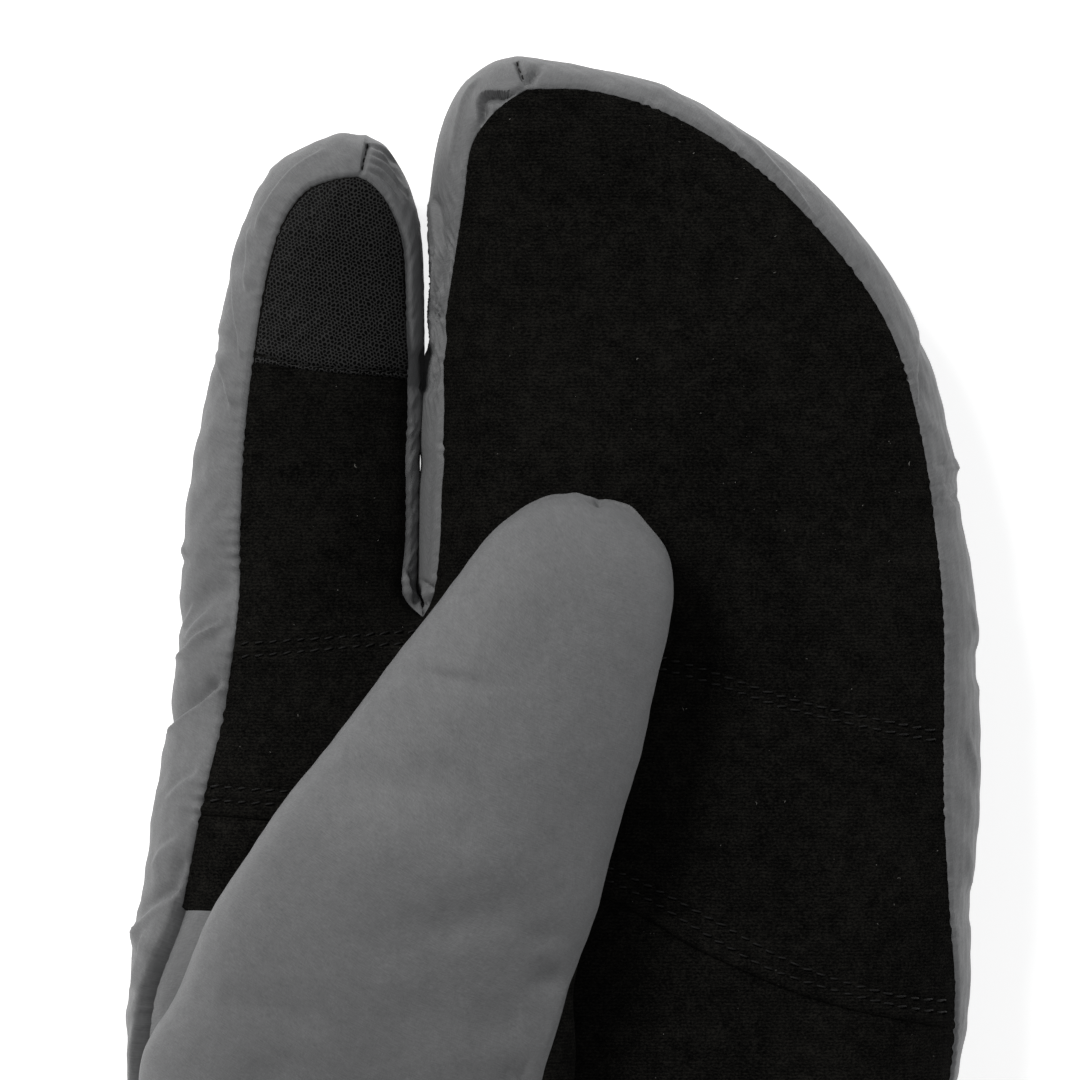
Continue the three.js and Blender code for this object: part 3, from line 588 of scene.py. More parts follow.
def add_mesh(name, points, triangles, marks=None):
    """A smooth mesh from millimetres, with the cloth's own coordinates as its UV map."""
    mesh = bpy.data.meshes.new(name)
    mesh.vertices.add(len(points))
    mesh.vertices.foreach_set("co", (points * MM).astype(np.float32).ravel())
    mesh.loops.add(triangles.size)
    mesh.loops.foreach_set("vertex_index", triangles.astype(np.int32).ravel())
    mesh.polygons.add(len(triangles))
    mesh.polygons.foreach_set("loop_start", np.arange(0, triangles.size, 3, dtype=np.int32))
    mesh.polygons.foreach_set("use_smooth", np.ones(len(triangles), dtype=bool))
    if marks is not None:
        layer = mesh.uv_layers.new(name="cloth")
        layer.data.foreach_set("uv", marks.astype(np.float32).ravel())
    mesh.update(calc_edges=True)
    mesh.validate()
    mesh.set_sharp_from_angle(angle=math.radians(70))
    piece = bpy.data.objects.new(name, mesh)
    bpy.context.scene.collection.objects.link(piece)
    return piece


def with_wall(outer, inner, triangles, marks):
    """A closed panel: the outer face, the lining turned the other way, and a rim between
    them along every edge that only one triangle has."""
    used, local = np.unique(triangles, return_inverse=True)
    local = local.reshape(-1, 3)
    outer, inner = outer[used], inner[used]
    n = len(used)
    edges = np.concatenate([local[:, [0, 1]], local[:, [1, 2]], local[:, [2, 0]]])
    edge_marks = np.concatenate([marks[:, [0, 1]], marks[:, [1, 2]], marks[:, [2, 0]]])
    keys = np.sort(edges, axis=1)
    codes = keys[:, 0].astype(np.int64) * n + keys[:, 1]
    _, where, counts = np.unique(codes, return_index=True, return_counts=True)
    rim, rim_marks = edges[where[counts == 1]], edge_marks[where[counts == 1]]
    a, b = rim[:, 0], rim[:, 1]
    rim_faces = np.concatenate([np.stack([b, a, a + n], 1), np.stack([b, a + n, b + n], 1)])
    ma, mb = rim_marks[:, 0], rim_marks[:, 1]
    rim_uv = np.concatenate([np.stack([mb, ma, ma], 1), np.stack([mb, ma, mb], 1)])
    faces = np.concatenate([local, local[:, ::-1] + n, rim_faces])
    return (np.vstack([outer, inner]), faces,
            np.concatenate([marks, marks[:, ::-1], rim_uv]))


# Sewing

class Sewn:
    """Sheets sewn together: points that they share become one, and triangles that shrink to
    nothing by it are left out. raw holds the triangles' points before the sewing, which each
    sheet's own cloth coordinates go with."""

    def __init__(self, sheets):
        self.sheets = sheets
        stack = np.vstack([sheet.points.reshape(-1, 3) for sheet in sheets])
        starts = np.cumsum([0] + [sheet.points[..., 0].size for sheet in sheets])
        _, first, self.joined = np.unique(np.round(stack, 3), axis=0, return_index=True,
                                          return_inverse=True)
        self.joined = self.joined.ravel()
        self.base = stack[first]
        triangles, panels = zip(*[triangles_of(s, f) for s, f in zip(sheets, starts)])
        self.raw, self.panel = np.vstack(triangles), np.concatenate(panels)
        self.tri = self.joined[self.raw]
        self.keep((self.tri[:, 0] != self.tri[:, 1]) & (self.tri[:, 1] != self.tri[:, 2])
                  & (self.tri[:, 2] != self.tri[:, 0]))
        self.marks = np.vstack([np.column_stack([s.over.ravel(), s.up.ravel()])
                                for s in sheets])

    def keep(self, wanted):
        """Leave out the triangles that aren't wanted, and find the points' normals."""
        self.tri, self.raw, self.panel = self.tri[wanted], self.raw[wanted], self.panel[wanted]
        self.normals = point_normals(self.base, self.tri)

    def lifted(self):
        """The points moved out by their sheets' lift, where sheets meet by the mean of it."""
        total = np.bincount(self.joined, np.concatenate([s.lift.ravel() for s in self.sheets]),
                            len(self.base))
        lift = total / np.bincount(self.joined, minlength=len(self.base))
        return self.base + self.normals * lift[:, None]


hand = Sewn(sheets)


# Creases and seams, as lifts along the surface's own direction

# rise and its width to the right of the line, sink and its width to the left, how soft the
# step between them is, and the line itself: cloth folded over along a crisp edge
FOLDS = [
    (0.5, 3, 0.75, 2.8, 0.22, [(-0.4589, 0.6098), (-0.4495, 0.6144), (-0.4308, 0.623),
                               (-0.412, 0.6299), (-0.3967, 0.6368), (-0.3803, 0.6437)]),
    (0.45, 1.2, 0.2, 1.5, 0.22, [(-0.4495, 0.6534), (-0.4401, 0.6575), (-0.4272, 0.6638),
                                 (-0.4155, 0.669), (-0.3991, 0.6736), (-0.3826, 0.6782)]),
    (0.35, 0.8, 0.18, 1, 0.25, [(-0.4413, 0.6713), (-0.4354, 0.6759), (-0.4296, 0.6816),
                                (-0.4225, 0.6885)]),
    (0.55, 4, 0.65, 2.4, 0.55, [(-0.5, 0.4966), (-0.4883, 0.5011), (-0.4742, 0.5092),
                                (-0.4566, 0.5167), (-0.439, 0.5218), (-0.4249, 0.5259)]),
    (0.4, 2, 0.35, 1.2, 0.3, [(-0.4965, 0.4632), (-0.493, 0.4701), (-0.4883, 0.4787),
                              (-0.4812, 0.4885), (-0.4707, 0.4989)]),
    (0.38, 1.6, 0.2, 1.5, 0.28, [(-0.3498, 0.8966), (-0.3462, 0.9034), (-0.3404, 0.9109),
                                 (-0.3181, 0.9287), (-0.2934, 0.9391), (-0.2629, 0.9477)]),
    (0.3, 1.1, 0.2, 1, 0.25, [(-0.358, 0.8626), (-0.3603, 0.8753), (-0.3592, 0.8897),
                              (-0.3556, 0.9034)]),
    (0.32, 1.4, 0.28, 1.2, 0.25, [(-0.365, 0.8224), (-0.3685, 0.8379), (-0.3744, 0.858),
                                  (-0.3791, 0.8793)]),
    (0.38, 1.8, 0.35, 1.2, 0.28, [(-0.3768, 0.7966), (-0.3826, 0.808), (-0.3908, 0.8195),
                                  (-0.3991, 0.8322)]),
    (0.25, 1.2, 0.28, 1.5, 0.28, [(0.4284, 0.8448), (0.4272, 0.8322), (0.4249, 0.8149),
                                  (0.4225, 0.7948)]),
    (0.3, 0.8, 0.15, 2.5, 0.22, [(-0.0822, 0.9891), (-0.0939, 0.9816), (-0.1033, 0.9736),
                                 (-0.1080, 0.9655), (-0.1127, 0.9563), (-0.1162, 0.9471),
                                 (-0.1185, 0.9379), (-0.1174, 0.9287)]),
    (0.25, 2.0, 1.15, 1.2, 0.15, [(-0.0246, 0.9793), (-0.0399, 0.9782), (-0.0575, 0.9770),
                                  (-0.0728, 0.9776), (-0.0833, 0.9764), (-0.0880, 0.9724),
                                  (-0.0869, 0.9661), (-0.0869, 0.9598), (-0.0915, 0.9529)]),
    (0.3, 1.5, 0.3, 1.2, 0.35, [(-0.4366, 0.6655), (-0.4202, 0.6759), (-0.4014, 0.6845)]),
    (0.22, 1.5, 0.2, 1.5, 0.35, [(-0.4554, 0.5736), (-0.4366, 0.5839), (-0.4108, 0.592)]),
    (0.22, 1.5, 0.18, 1.5, 0.35, [(-0.4742, 0.5345), (-0.4577, 0.5471), (-0.4319, 0.5552)]),
    (0.45, 1.2, 0.6, 1.3, 0.22, [(-0.1420, 0.9207), (-0.1385, 0.9098), (-0.1350, 0.8983),
                                 (-0.1303, 0.8885), (-0.1256, 0.8793)]),
    (0.25, 1.0, 1.0, 2.2, 0.25, [(-0.1420, 0.8023), (-0.1373, 0.8092), (-0.1350, 0.8195),
                                 (-0.1373, 0.8293), (-0.1426, 0.8374)]),
]
# height, or depth below zero, width, and the line: soft ridges and hollows
RIDGES = [
    (-0.5, 1.3, [(-0.412, 0.6626), (-0.3991, 0.6672), (-0.385, 0.6718), (-0.3685, 0.6764)]),
    (-0.45, 1.6, [(-0.365, 0.6966), (-0.3826, 0.6943), (-0.4026, 0.6897), (-0.419, 0.6839)]),
    (-0.22, 1, [(-0.3685, 0.6874), (-0.3815, 0.681)]),
    (0.45, 1.1, [(-0.4413, 0.7167), (-0.4308, 0.7178)]),
    (-0.25, 1, [(-0.439, 0.7092), (-0.4272, 0.7109)]),
    (-0.6, 1.7, [(-0.4495, 0.531), (-0.4378, 0.5339), (-0.4237, 0.5408)]),
    (0.55, 0.9, [(-0.4354, 0.5213), (-0.4249, 0.5259)]),
    (-0.5, 2.6, [(-0.3991, 0.8437), (-0.4014, 0.8287)]),
    (-0.5, 2.6, [(-0.3638, 0.9299), (-0.3498, 0.9414)]),
    (0.6, 0.55, [(0.2077, 0.9598), (0.2242, 0.9523), (0.2453, 0.9414), (0.2793, 0.9207),
                 (0.3122, 0.8977)]),
    (-0.28, 0.5, [(0.439, 0.7661), (0.4554, 0.7667), (0.4742, 0.7672)]),
    (-0.28, 0.5, [(0.4413, 0.754), (0.4554, 0.7557), (0.473, 0.758)]),
    (-0.4, 0.6, [(0.4437, 0.7448), (0.4577, 0.746), (0.4742, 0.7477)]),
    (0.65, 1.6, [(0.4718, 0.7701), (0.473, 0.7609)]),
    (-0.45, 0.9, [(0.4648, 0.7466), (0.4742, 0.7477)]),
    (0.32, 0.6, [(0.4836, 0.6121), (0.4894, 0.5983), (0.4953, 0.5822)]),
    (0.3, 0.6, [(0.4824, 0.5477), (0.4859, 0.5356), (0.4894, 0.5218)]),
    (0.25, 0.5, [(0.4871, 0.6868), (0.4906, 0.6782), (0.4953, 0.6678)]),
    (-0.6, 4, [(0.5, 0.6655), (0.5012, 0.6368)]),
    (-0.5, 4, [(0.4953, 0.5276), (0.4941, 0.4989)]),
    (-0.35, 2, [(0.4413, 0.8437), (0.4531, 0.8264)]),
    (-1.1, 0.7, [(-0.0329, 0.9816), (-0.0258, 0.9874), (-0.0153, 0.9931)]),
    (0.2, 0.8, [(-0.0822, 0.969), (-0.0681, 0.9713)]),
    (0.25, 1, [(0.4354, 0.7891), (0.446, 0.7856)]),
    (0.18, 0.8, [(0.4531, 0.773), (0.4577, 0.7701)]),
    (-0.2, 0.9, [(0.1009, 0.969), (0.115, 0.9736), (0.1338, 0.977)]),
    (0.18, 0.9, [(0.1714, 0.9655), (0.1972, 0.9575)]),
    (0.6, 3.2, [(-0.4965, 0.5161), (-0.4965, 0.4874)]),
    # gathers that fan out from the index fingertip's seam
    (-0.6, 0.4, [(-0.216, 0.9489), (-0.2007, 0.9466), (-0.189, 0.9414), (-0.1819, 0.9356)]),
    (-0.6, 0.4, [(-0.216, 0.9443), (-0.1972, 0.9408), (-0.1831, 0.9345), (-0.1725, 0.9264)]),
    (-0.6, 0.4, [(-0.2183, 0.9397), (-0.1995, 0.9362), (-0.1831, 0.9287), (-0.1702, 0.9195)]),
    (-0.6, 0.4, [(-0.2207, 0.9351), (-0.2019, 0.931), (-0.1878, 0.9247), (-0.1761, 0.9167)]),
    (-0.3, 0.4, [(-0.2136, 0.9523), (-0.1995, 0.9506), (-0.1866, 0.9466)]),
    # the two fingertip seams
    (-0.8, 0.35, [(-0.2183, 0.9534), (-0.2171, 0.9483), (-0.2207, 0.9397), (-0.2236, 0.9305)]),
    (-0.8, 0.35, [(-0.0452, 1.0000), (-0.0423, 0.9931), (-0.0381, 0.9874), (-0.0329, 0.9816)]),
    # pleats on the fingers' side of the gap
    (-0.6, 0.3, [(-0.1444, 0.8471), (-0.1385, 0.8529), (-0.1315, 0.8575)]),
    (-0.6, 0.3, [(-0.1432, 0.8437), (-0.1362, 0.8494), (-0.1291, 0.8546)]),
    (-0.6, 0.3, [(-0.1455, 0.8517), (-0.1408, 0.8575), (-0.1350, 0.8621)]),
    (-0.6, 0.3, [(-0.1444, 0.8580), (-0.1397, 0.8644), (-0.1338, 0.8690)]),
    (-0.3, 0.3, [(-0.1420, 0.8655), (-0.1362, 0.8713), (-0.1303, 0.8753)]),
    (-0.6, 0.3, [(-0.1479, 0.8195), (-0.1444, 0.8253), (-0.1408, 0.8310)]),
    (-0.6, 0.3, [(-0.1491, 0.8126), (-0.1444, 0.8190), (-0.1397, 0.8253)]),
]
# creases drawn together at the fork's foot
FOOT_CREASES = [
    (0.55, 0.3, [(-0.1737, 0.7057), (-0.1714, 0.6954), (-0.1655, 0.6862)]),
    (-0.7, 0.3, [(-0.1702, 0.7046), (-0.1667, 0.6943), (-0.1608, 0.6856)]),
    (0.5, 0.3, [(-0.1655, 0.6943), (-0.1608, 0.6885), (-0.1561, 0.6839)]),
    (-0.7, 0.3, [(-0.1573, 0.6966), (-0.1561, 0.6897), (-0.1526, 0.6839)]),
    (0.55, 0.35, [(-0.1526, 0.6954), (-0.1479, 0.6897), (-0.1455, 0.6851)]),
    (-0.6, 0.35, [(-0.1549, 0.7000), (-0.1467, 0.6966), (-0.1373, 0.6943)]),
    (0.4, 0.3, [(-0.1455, 0.6943), (-0.1408, 0.6908), (-0.1373, 0.6885)]),
]
# the thumb's own soft bands and its gathered tip
THUMB_RIDGES = [
    (-0.34, 1.2, [(-0.1831, 0.65), (-0.1408, 0.6477), (-0.0657, 0.6397)]),
    (-0.8, 4.0, [(-0.1725, 0.5052), (-0.0857, 0.5121), (-0.0012, 0.5259)]),
    (-0.7, 4.0, [(-0.0974, 0.4529), (-0.0282, 0.4529)]),
    (-0.7, 2.6, [(-0.0282, 0.4816), (0.0141, 0.4759)]),
    (-0.6, 3.0, [(-0.0657, 0.4213), (-0.0176, 0.4213)]),
    (-0.9, 0.7, [(0.0528, 0.7471), (0.0493, 0.7414)]),
    (-0.8, 3.6, [(-0.3979, 0.4672), (-0.3392, 0.4615), (-0.2500, 0.4517)]),
    (-0.55, 2.2, [(-0.0340, 0.4989), (-0.0047, 0.5011), (0.0164, 0.5034)]),
    (-0.5, 1.6, [(-0.0235, 0.4724), (-0.0023, 0.4741), (0.0164, 0.4770)]),
    (-0.5, 3.0, [(-0.3674, 0.4155), (-0.3310, 0.4230), (-0.2981, 0.4264)]),
    (-0.5, 4.0, [(-0.2981, 0.5966), (-0.2042, 0.5879), (-0.0986, 0.5908)]),
    (0.5, 4.5, [(-0.2124, 0.4695), (-0.1749, 0.4770), (-0.1385, 0.4828)]),
    (0.45, 4.5, [(-0.1631, 0.4270), (-0.1338, 0.4310), (-0.1103, 0.4356)]),
    (0.4, 4.0, [(-0.1573, 0.5506), (-0.0986, 0.5448), (-0.0399, 0.5494)]),
    (0.3, 0.9, [(0.0704, 0.7443), (0.0669, 0.7397)]),
    (0.3, 1.2, [(0.0246, 0.7506), (0.0258, 0.7437)]),
]


def from_line(x, y, shares):
    """Distance from a smooth line in plan, above zero to its left, and the share of the line
    at which the nearest point lies."""
    knots = plan(*np.array(shares).T)
    line = through(knots, np.linspace(0, len(knots) - 1, 6 * (len(knots) - 1) + 1))
    run = lengths(line)
    nearest = np.full(x.shape, 1e9)
    signed, share = np.zeros(x.shape), np.zeros(x.shape)
    for k in range(len(line) - 1):
        (ax, ay), (dx, dy) = line[k], line[k + 1] - line[k]
        size = math.hypot(dx, dy)
        t = np.clip(((x - ax) * dx + (y - ay) * dy) / size**2, 0, 1)
        off = np.hypot(x - ax - dx * t, y - ay - dy * t)
        closer = off < nearest
        side = np.where((x - ax) * dy - (y - ay) * dx > 0, -1.0, 1.0)
        nearest = np.where(closer, off, nearest)
        signed = np.where(closer, off * side, signed)
        share = np.where(closer, (run[k] + size * t) / run[-1], share)
    return signed, share


def ends_faded(share, reach=0.2):
    """1 along the middle of a line, falling smoothly to 0 at both its ends."""
    return smooth_step(0, reach, share) * smooth_step(0, reach, 1 - share)


def near(x, y, shares, reach):
    """The points inside a line's box grown by a reach."""
    line = plan(*np.array(shares).T)
    low, high = line.min(axis=0) - reach, line.max(axis=0) + reach
    return (x > low[0]) & (x < high[0]) & (y > low[1]) & (y < high[1])


def fold_lift(x, y):
    """Crisp folds. To the right of its line a fold's rise dies away over its width, to the
    left its sink does, and a smooth step joins them."""
    total = np.zeros(x.shape)
    for rise, rise_width, sink, sink_width, soft, shares in FOLDS:
        here = near(x, y, shares, 4 * max(rise_width, sink_width))
        off, share = from_line(x[here], y[here], shares)
        right = (1 - np.tanh(off / soft)) / 2
        up = rise * np.exp(-np.maximum(-off, 0) / rise_width)
        down = sink * np.exp(-np.maximum(off, 0) / sink_width)
        total[here] += FOLD_STRENGTH * (right * up - (1 - right) * down) * ends_faded(share)
    return total


def ridge_lift(x, y, table):
    """Soft ridges and hollows: each a bell curve across its line."""
    total = np.zeros(x.shape)
    for height, width, shares in table:
        here = near(x, y, shares, 3 * width)
        off, share = from_line(x[here], y[here], shares)
        bell = RIDGE_STRENGTH * height * np.exp(-(off / width) ** 2)
        total[here] += bell * (0.25 + 0.75 * ends_faded(share, 0.3))
    return total


def seam_dip(gap, depth, width):
    """A seam's valley, a bell curve across it."""
    return -depth * np.exp(-(gap / width) ** 2)


def roll(gap, height, width):
    """The padding's roll beside a seam: nothing at the seam, most at one width from it."""
    t = gap / width
    return height * t * np.exp(1 - t)


SEAM_DEPTH = 0.5
FOLD_STRENGTH = 2.1
RIDGE_STRENGTH = 1.3
CREASE_FROM = 0.515  # the strip's seam is deep below this share of the length


def slanted(seed, x, y, turn, across, along):
    """Soft creases that run one way: waves in a turned and stretched plan."""
    c, s = math.cos(math.radians(turn)), math.sin(math.radians(turn))
    return waves(seed, (x * c + y * s) / along, (y * c - x * s) / across, length=1.0, count=12)


def side_lift(s, seed, turn, calm):
    """The grey strips: they roll up from the palm's edge, with small gathers along the seam,
    slanting creases, and the folds of the tables, which fade out under the back."""
    x, y, z = (s.points[..., k] for k in range(3))
    off_seam = smooth_step(0.2, 3.5, s.over)
    past_rim = np.maximum(s.over - s.over[:, STRIP_COLUMNS + 1:STRIP_COLUMNS + 2], 0)
    deep = smooth_step(CREASE_FROM + 0.01, CREASE_FROM - 0.03, y / MITT_LENGTH + 0.5)
    deep = deep * smooth_step(WRIST, WRIST + 0.1, y / MITT_LENGTH + 0.5) * (seed == 11)
    s.lift += seam_dip(s.over, SEAM_DEPTH, 0.45) + roll(s.over, 0.12, 1.8)
    s.lift += (seam_dip(s.over, 2.4, 0.5) + roll(s.over, 0.6, 2.0)) * deep
    s.lift += 0.13 * gathers(s.up[:, :1], seed) * np.exp(-s.over / 1.8)
    s.lift += calm * slanted(seed + 3, x, y, turn, 6.5, 18) * off_seam * np.exp(-past_rim / 8)
    s.lift += 0.05 * waves(seed + 4, x, y, z, length=4.5) * off_seam
    s.lift += 0.13 * waves(seed + 5, x, y, z, length=24) * off_seam
    shown = np.exp(-past_rim / 5)
    s.lift += (fold_lift(x, y) + ridge_lift(x, y, RIDGES)) * smooth_step(0, 1.2, s.over) * shown


def palm_lift(s, first):
    """The black panels: they dip to the strips' seam, lie a little lower than the strips,
    and swell softly between the seams."""
    left_run = by_name["left_side"].up[first:first + s.shape[0], :1]
    right_run = by_name["right_side"].up[first:first + s.shape[0], :1]
    x, y = s.points[..., 0], s.points[..., 1]
    to_left, to_right = s.over, s.over[:, -1:] - s.over
    nearest = np.minimum(to_left, to_right)
    s.lift += seam_dip(nearest, SEAM_DEPTH - 0.25, 0.5) - 0.25
    s.lift += 0.13 * gathers(left_run, 11) * np.exp(-to_left / 0.9) * (s.name != "fingers_palm")
    s.lift += 0.13 * gathers(right_run, 21) * np.exp(-to_right / 0.9) * (s.name != "index_palm")
    s.lift += 0.3 * waves(31, x, y, length=34) * smooth_step(0.5, 8, nearest)
    s.lift += 0.05 * waves(33, x, y, length=8) * smooth_step(0.5, 4, nearest)
    for table in (KNUCKLE_UPPER, KNUCKLE_LOWER, HEEL_UPPER, HEEL_LOWER):
        here = near(x, y, table, 8)
        off, _ = from_line(x[here], y[here], table)
        s.lift[here] += seam_dip(off, 0.28, 0.55) + roll(np.abs(off), 0.12, 2.2)
    here = near(x, y, HEEL_SEAM, 10)
    off, _ = from_line(x[here], y[here], HEEL_SEAM)
    below = np.maximum(-off, 0)
    tuck = 0.3 + 0.5 * smooth_step(30, -20, x[here])
    step = -tuck * np.exp(-below / 1.6) * (off < -0.12) - 0.55 * np.exp(-(off / 0.3) ** 2)
    s.lift[here] += step * smooth_step(0, 1.0, nearest[here])
    if s.name == "palm":
        gusset = slice(0, BALL_ROW + 1), slice(0, GUSSET_COLUMNS + 1)
        deep = smooth_step(WRIST, WRIST + 0.1, y[gusset] / MITT_LENGTH + 0.5)
        s.lift[gusset] += (seam_dip(s.over[gusset], 2.4, 0.5)
                           + seam_dip(s.over[gusset], 0.7, 2.0)) * deep
        s.lift[gusset] += 0.25 - 0.25 * np.exp(-nearest[gusset] / 1.0)


def fork_lift(s):
    """The gusset between the fingers is crinkled across by its tight seams, most where the
    two compartments first touch."""
    x, y = s.points[..., 0], s.points[..., 1]
    width = s.over[:, -1:]
    nearest = np.minimum(s.over, width - s.over)
    finger_side = (np.arange(s.shape[0]) > TIP_ROW - FORK_ROW)[:, None]
    along = y / MITT_LENGTH + 0.5
    tight = np.exp(-((along - 0.862) / 0.04) ** 2) * finger_side
    crinkle = 1 - 2 * np.abs(waves(41, s.points[..., 2] + 0.3 * y, 0.2 * y, length=2.0,
                                   count=8, spread=0.25))
    off_seam = smooth_step(0, 1.2, nearest)
    off_rim = smooth_step(0, 1.5, np.abs(s.over - s.over[:, STRIP_COLUMNS:STRIP_COLUMNS + 1]))
    s.lift += seam_dip(nearest, SEAM_DEPTH, 0.7) + roll(nearest, 0.15, 1.5)
    s.lift += 0.3 * crinkle * tight * off_seam
    s.lift += 0.07 * slanted(43, x, s.up, 40, 2.4, 9) * ~finger_side * off_seam * off_rim
    under = s.over > width / 2
    shown = np.where(under, 0.0, 1.0)
    s.lift += (fold_lift(x, y) + ridge_lift(x, y, RIDGES)) * off_seam * shown
    s.lift += ridge_lift(x, y, FOOT_CREASES) * smooth_step(0, 0.4, nearest) * shown


# side, along: the rows of stitches across the palm
KNUCKLE_UPPER = [
    (-0.3862, 0.6632), (-0.3568, 0.6644), (-0.3028, 0.6661), (-0.2512, 0.6678),
    (-0.169, 0.6707), (-0.0869, 0.6701), (0.0305, 0.6649), (0.1491, 0.6529), (0.2664, 0.6339),
    (0.3474, 0.6241), (0.4495, 0.6138), (0.4765, 0.6109),
]
KNUCKLE_LOWER = [
    (-0.3862, 0.6563), (-0.3603, 0.6569), (-0.3028, 0.6592), (-0.2512, 0.6615),
    (-0.1843, 0.6638), (-0.0869, 0.6632), (0.0305, 0.658), (0.1479, 0.6466), (0.2664, 0.6282),
    (0.3474, 0.6184), (0.446, 0.6086), (0.4765, 0.6052),
]
HEEL_UPPER = [
    (-0.4214, 0.5839), (-0.4002, 0.5833), (-0.3509, 0.5816), (-0.3016, 0.5799),
    (-0.1808, 0.5736), (-0.0399, 0.5552), (0.0822, 0.5328), (0.1772, 0.5092),
    (0.2829, 0.4816), (0.3873, 0.4655), (0.4648, 0.4598), (0.4941, 0.458),
]
HEEL_LOWER = [
    (-0.4214, 0.5759), (-0.4014, 0.5753), (-0.3568, 0.5741), (-0.3099, 0.5724),
    (-0.1808, 0.5649), (-0.0399, 0.5471), (0.088, 0.5241), (0.1937, 0.4943),
    (0.2664, 0.4764), (0.3873, 0.4598), (0.4648, 0.4529), (0.4941, 0.4506),
]
PATCH_STITCH = [
    (-0.3545, 0.8287), (-0.3427, 0.8282), (-0.2969, 0.823), (-0.2394, 0.8201),
    (-0.1784, 0.819), (-0.1667, 0.819),
]


INDEX_TIP_SEAM = [(-0.2189, 0.9511), (-0.2183, 0.9483), (-0.2207, 0.9402), (-0.2236, 0.9316)]
FINGERS_TIP_SEAM = [(-0.0440, 0.9977), (-0.0423, 0.9943), (-0.0376, 0.9885), (-0.0335, 0.9828)]


def cuff_lift(s):
    """The wrist is drawn in by small gathers, and the cuff's hem is stitched down."""
    x, y = s.points[..., 0], s.points[..., 1]
    off_wrist = y - plan(0, WRIST)[1]
    s.lift += 0.32 * waves(61, x, 0.2 * y, length=6.5) * np.exp(-((off_wrist / 7) ** 2))
    s.lift += 0.25 * waves(63, x, 0.3 * y, length=11) * smooth_step(14, -6, off_wrist)
    s.lift += seam_dip(off_wrist, 0.7, 0.9)
    s.lift += seam_dip(y - MOUTH[1] - 10, 0.35, 0.7) + seam_dip(y - MOUTH[1], 0.5, 1.5)


side_lift(by_name["left_side"], 11, 38, 0.11)
side_lift(by_name["right_side"], 21, -55, 0.06)
palm_lift(by_name["palm"], CUFF_ROWS)
palm_lift(by_name["index_palm"], CUFF_ROWS + KNUCKLE_ROW)
palm_lift(by_name["fingers_palm"], CUFF_ROWS + KNUCKLE_ROW)
palm_lift(by_name["cuff_palm"], 0)
fork_lift(by_name["fork"])
for name in ("palm", "cuff_palm", "left_side", "right_side"):
    cuff_lift(by_name[name])

hand_outer = hand.lifted()
hand_outer[:, 2] = np.maximum(hand_outer[:, 2], 0.0)


# The thumb

THUMB_AHEAD = np.array([math.sin(THUMB_ANGLE), math.cos(THUMB_ANGLE)])
THUMB_ACROSS = np.array([THUMB_AHEAD[1], -THUMB_AHEAD[0]])
PALM_TOP = float(pillow(np.array([0.0]), np.array([0.0]), True, np.array([HAND_WIDTH]))[0])
GRIP_LEFT = 1.05 * math.pi
GRIP_RIGHT = 1.95 * math.pi


def thumb_grid(rings, sides):
    """The thumb's tube: rings down its length, each a rounded oblong whose half width and
    half thickness come from the table. Angle 0 is its little-finger side, a quarter turn its
    top. Rings lie closer together at the tip, which is round because its half width grows as
    the square root of the length. The black side ends in an arch below the tip, its half
    angle growing as a quarter circle, and towards the root its seam climbs."""
    along = 0.935 * np.linspace(0, 1, rings + 1) ** 1.6
    rooted = np.column_stack([np.sqrt(THUMB_ROWS[:, 0]), THUMB_ROWS[:, 1:]])
    across, half, thick, sink = (read_table(rooted, k, np.sqrt(along)) for k in range(1, 5))
    half, thick = half * THUMB_WIDTH, thick * THUMB_THICKNESS
    centre = plan(*THUMB_TIP) - THUMB_AHEAD * (along * THUMB_LENGTH)[:, None]
    centre = centre + THUMB_ACROSS * (across * THUMB_WIDTH)[:, None]
    full = THUMB_THICKNESS * read_table(rooted, 3, np.sqrt([0.2]))[0]
    height = PALM_TOP + THUMB_CLEARANCE + thick - sink * THUMB_THICKNESS
    height = height + 0.45 * np.maximum(full - thick, 0) * (along < 0.2)
    turn = np.linspace(0, 2 * math.pi, sides + 1)
    t = np.clip((along - 0.02) / 0.13, 0, 1)
    shut = 1 - np.sqrt(t * (2 - t))
    sway = np.interp(turn, [0, GRIP_LEFT, GRIP_RIGHT, 2 * math.pi], [-0.909, 1, -1, -0.909])
    gap = np.abs(turn - GRIP_RIGHT)
    climb = np.exp(-(np.minimum(gap, 2 * math.pi - gap) / 0.7) ** 2)
    angle = turn + climb * (SEAM_CLIMB * smooth_step(0.42, 0.6, along))[:, None]
    angle = angle + (GRIP_RIGHT - GRIP_LEFT) / 2 * sway * shut[:, None]
    bend = 2 / THUMB_POWER
    rounded = lambda v: np.sign(v) * np.abs(v) ** bend
    out, up = rounded(np.cos(angle)) * half[:, None], rounded(np.sin(angle)) * thick[:, None]
    out[:, -1], up[:, -1] = out[:, 0], up[:, 0]
    xy = centre[:, None] + THUMB_ACROSS * out[..., None]
    return np.dstack([xy, height[:, None] + up]), turn


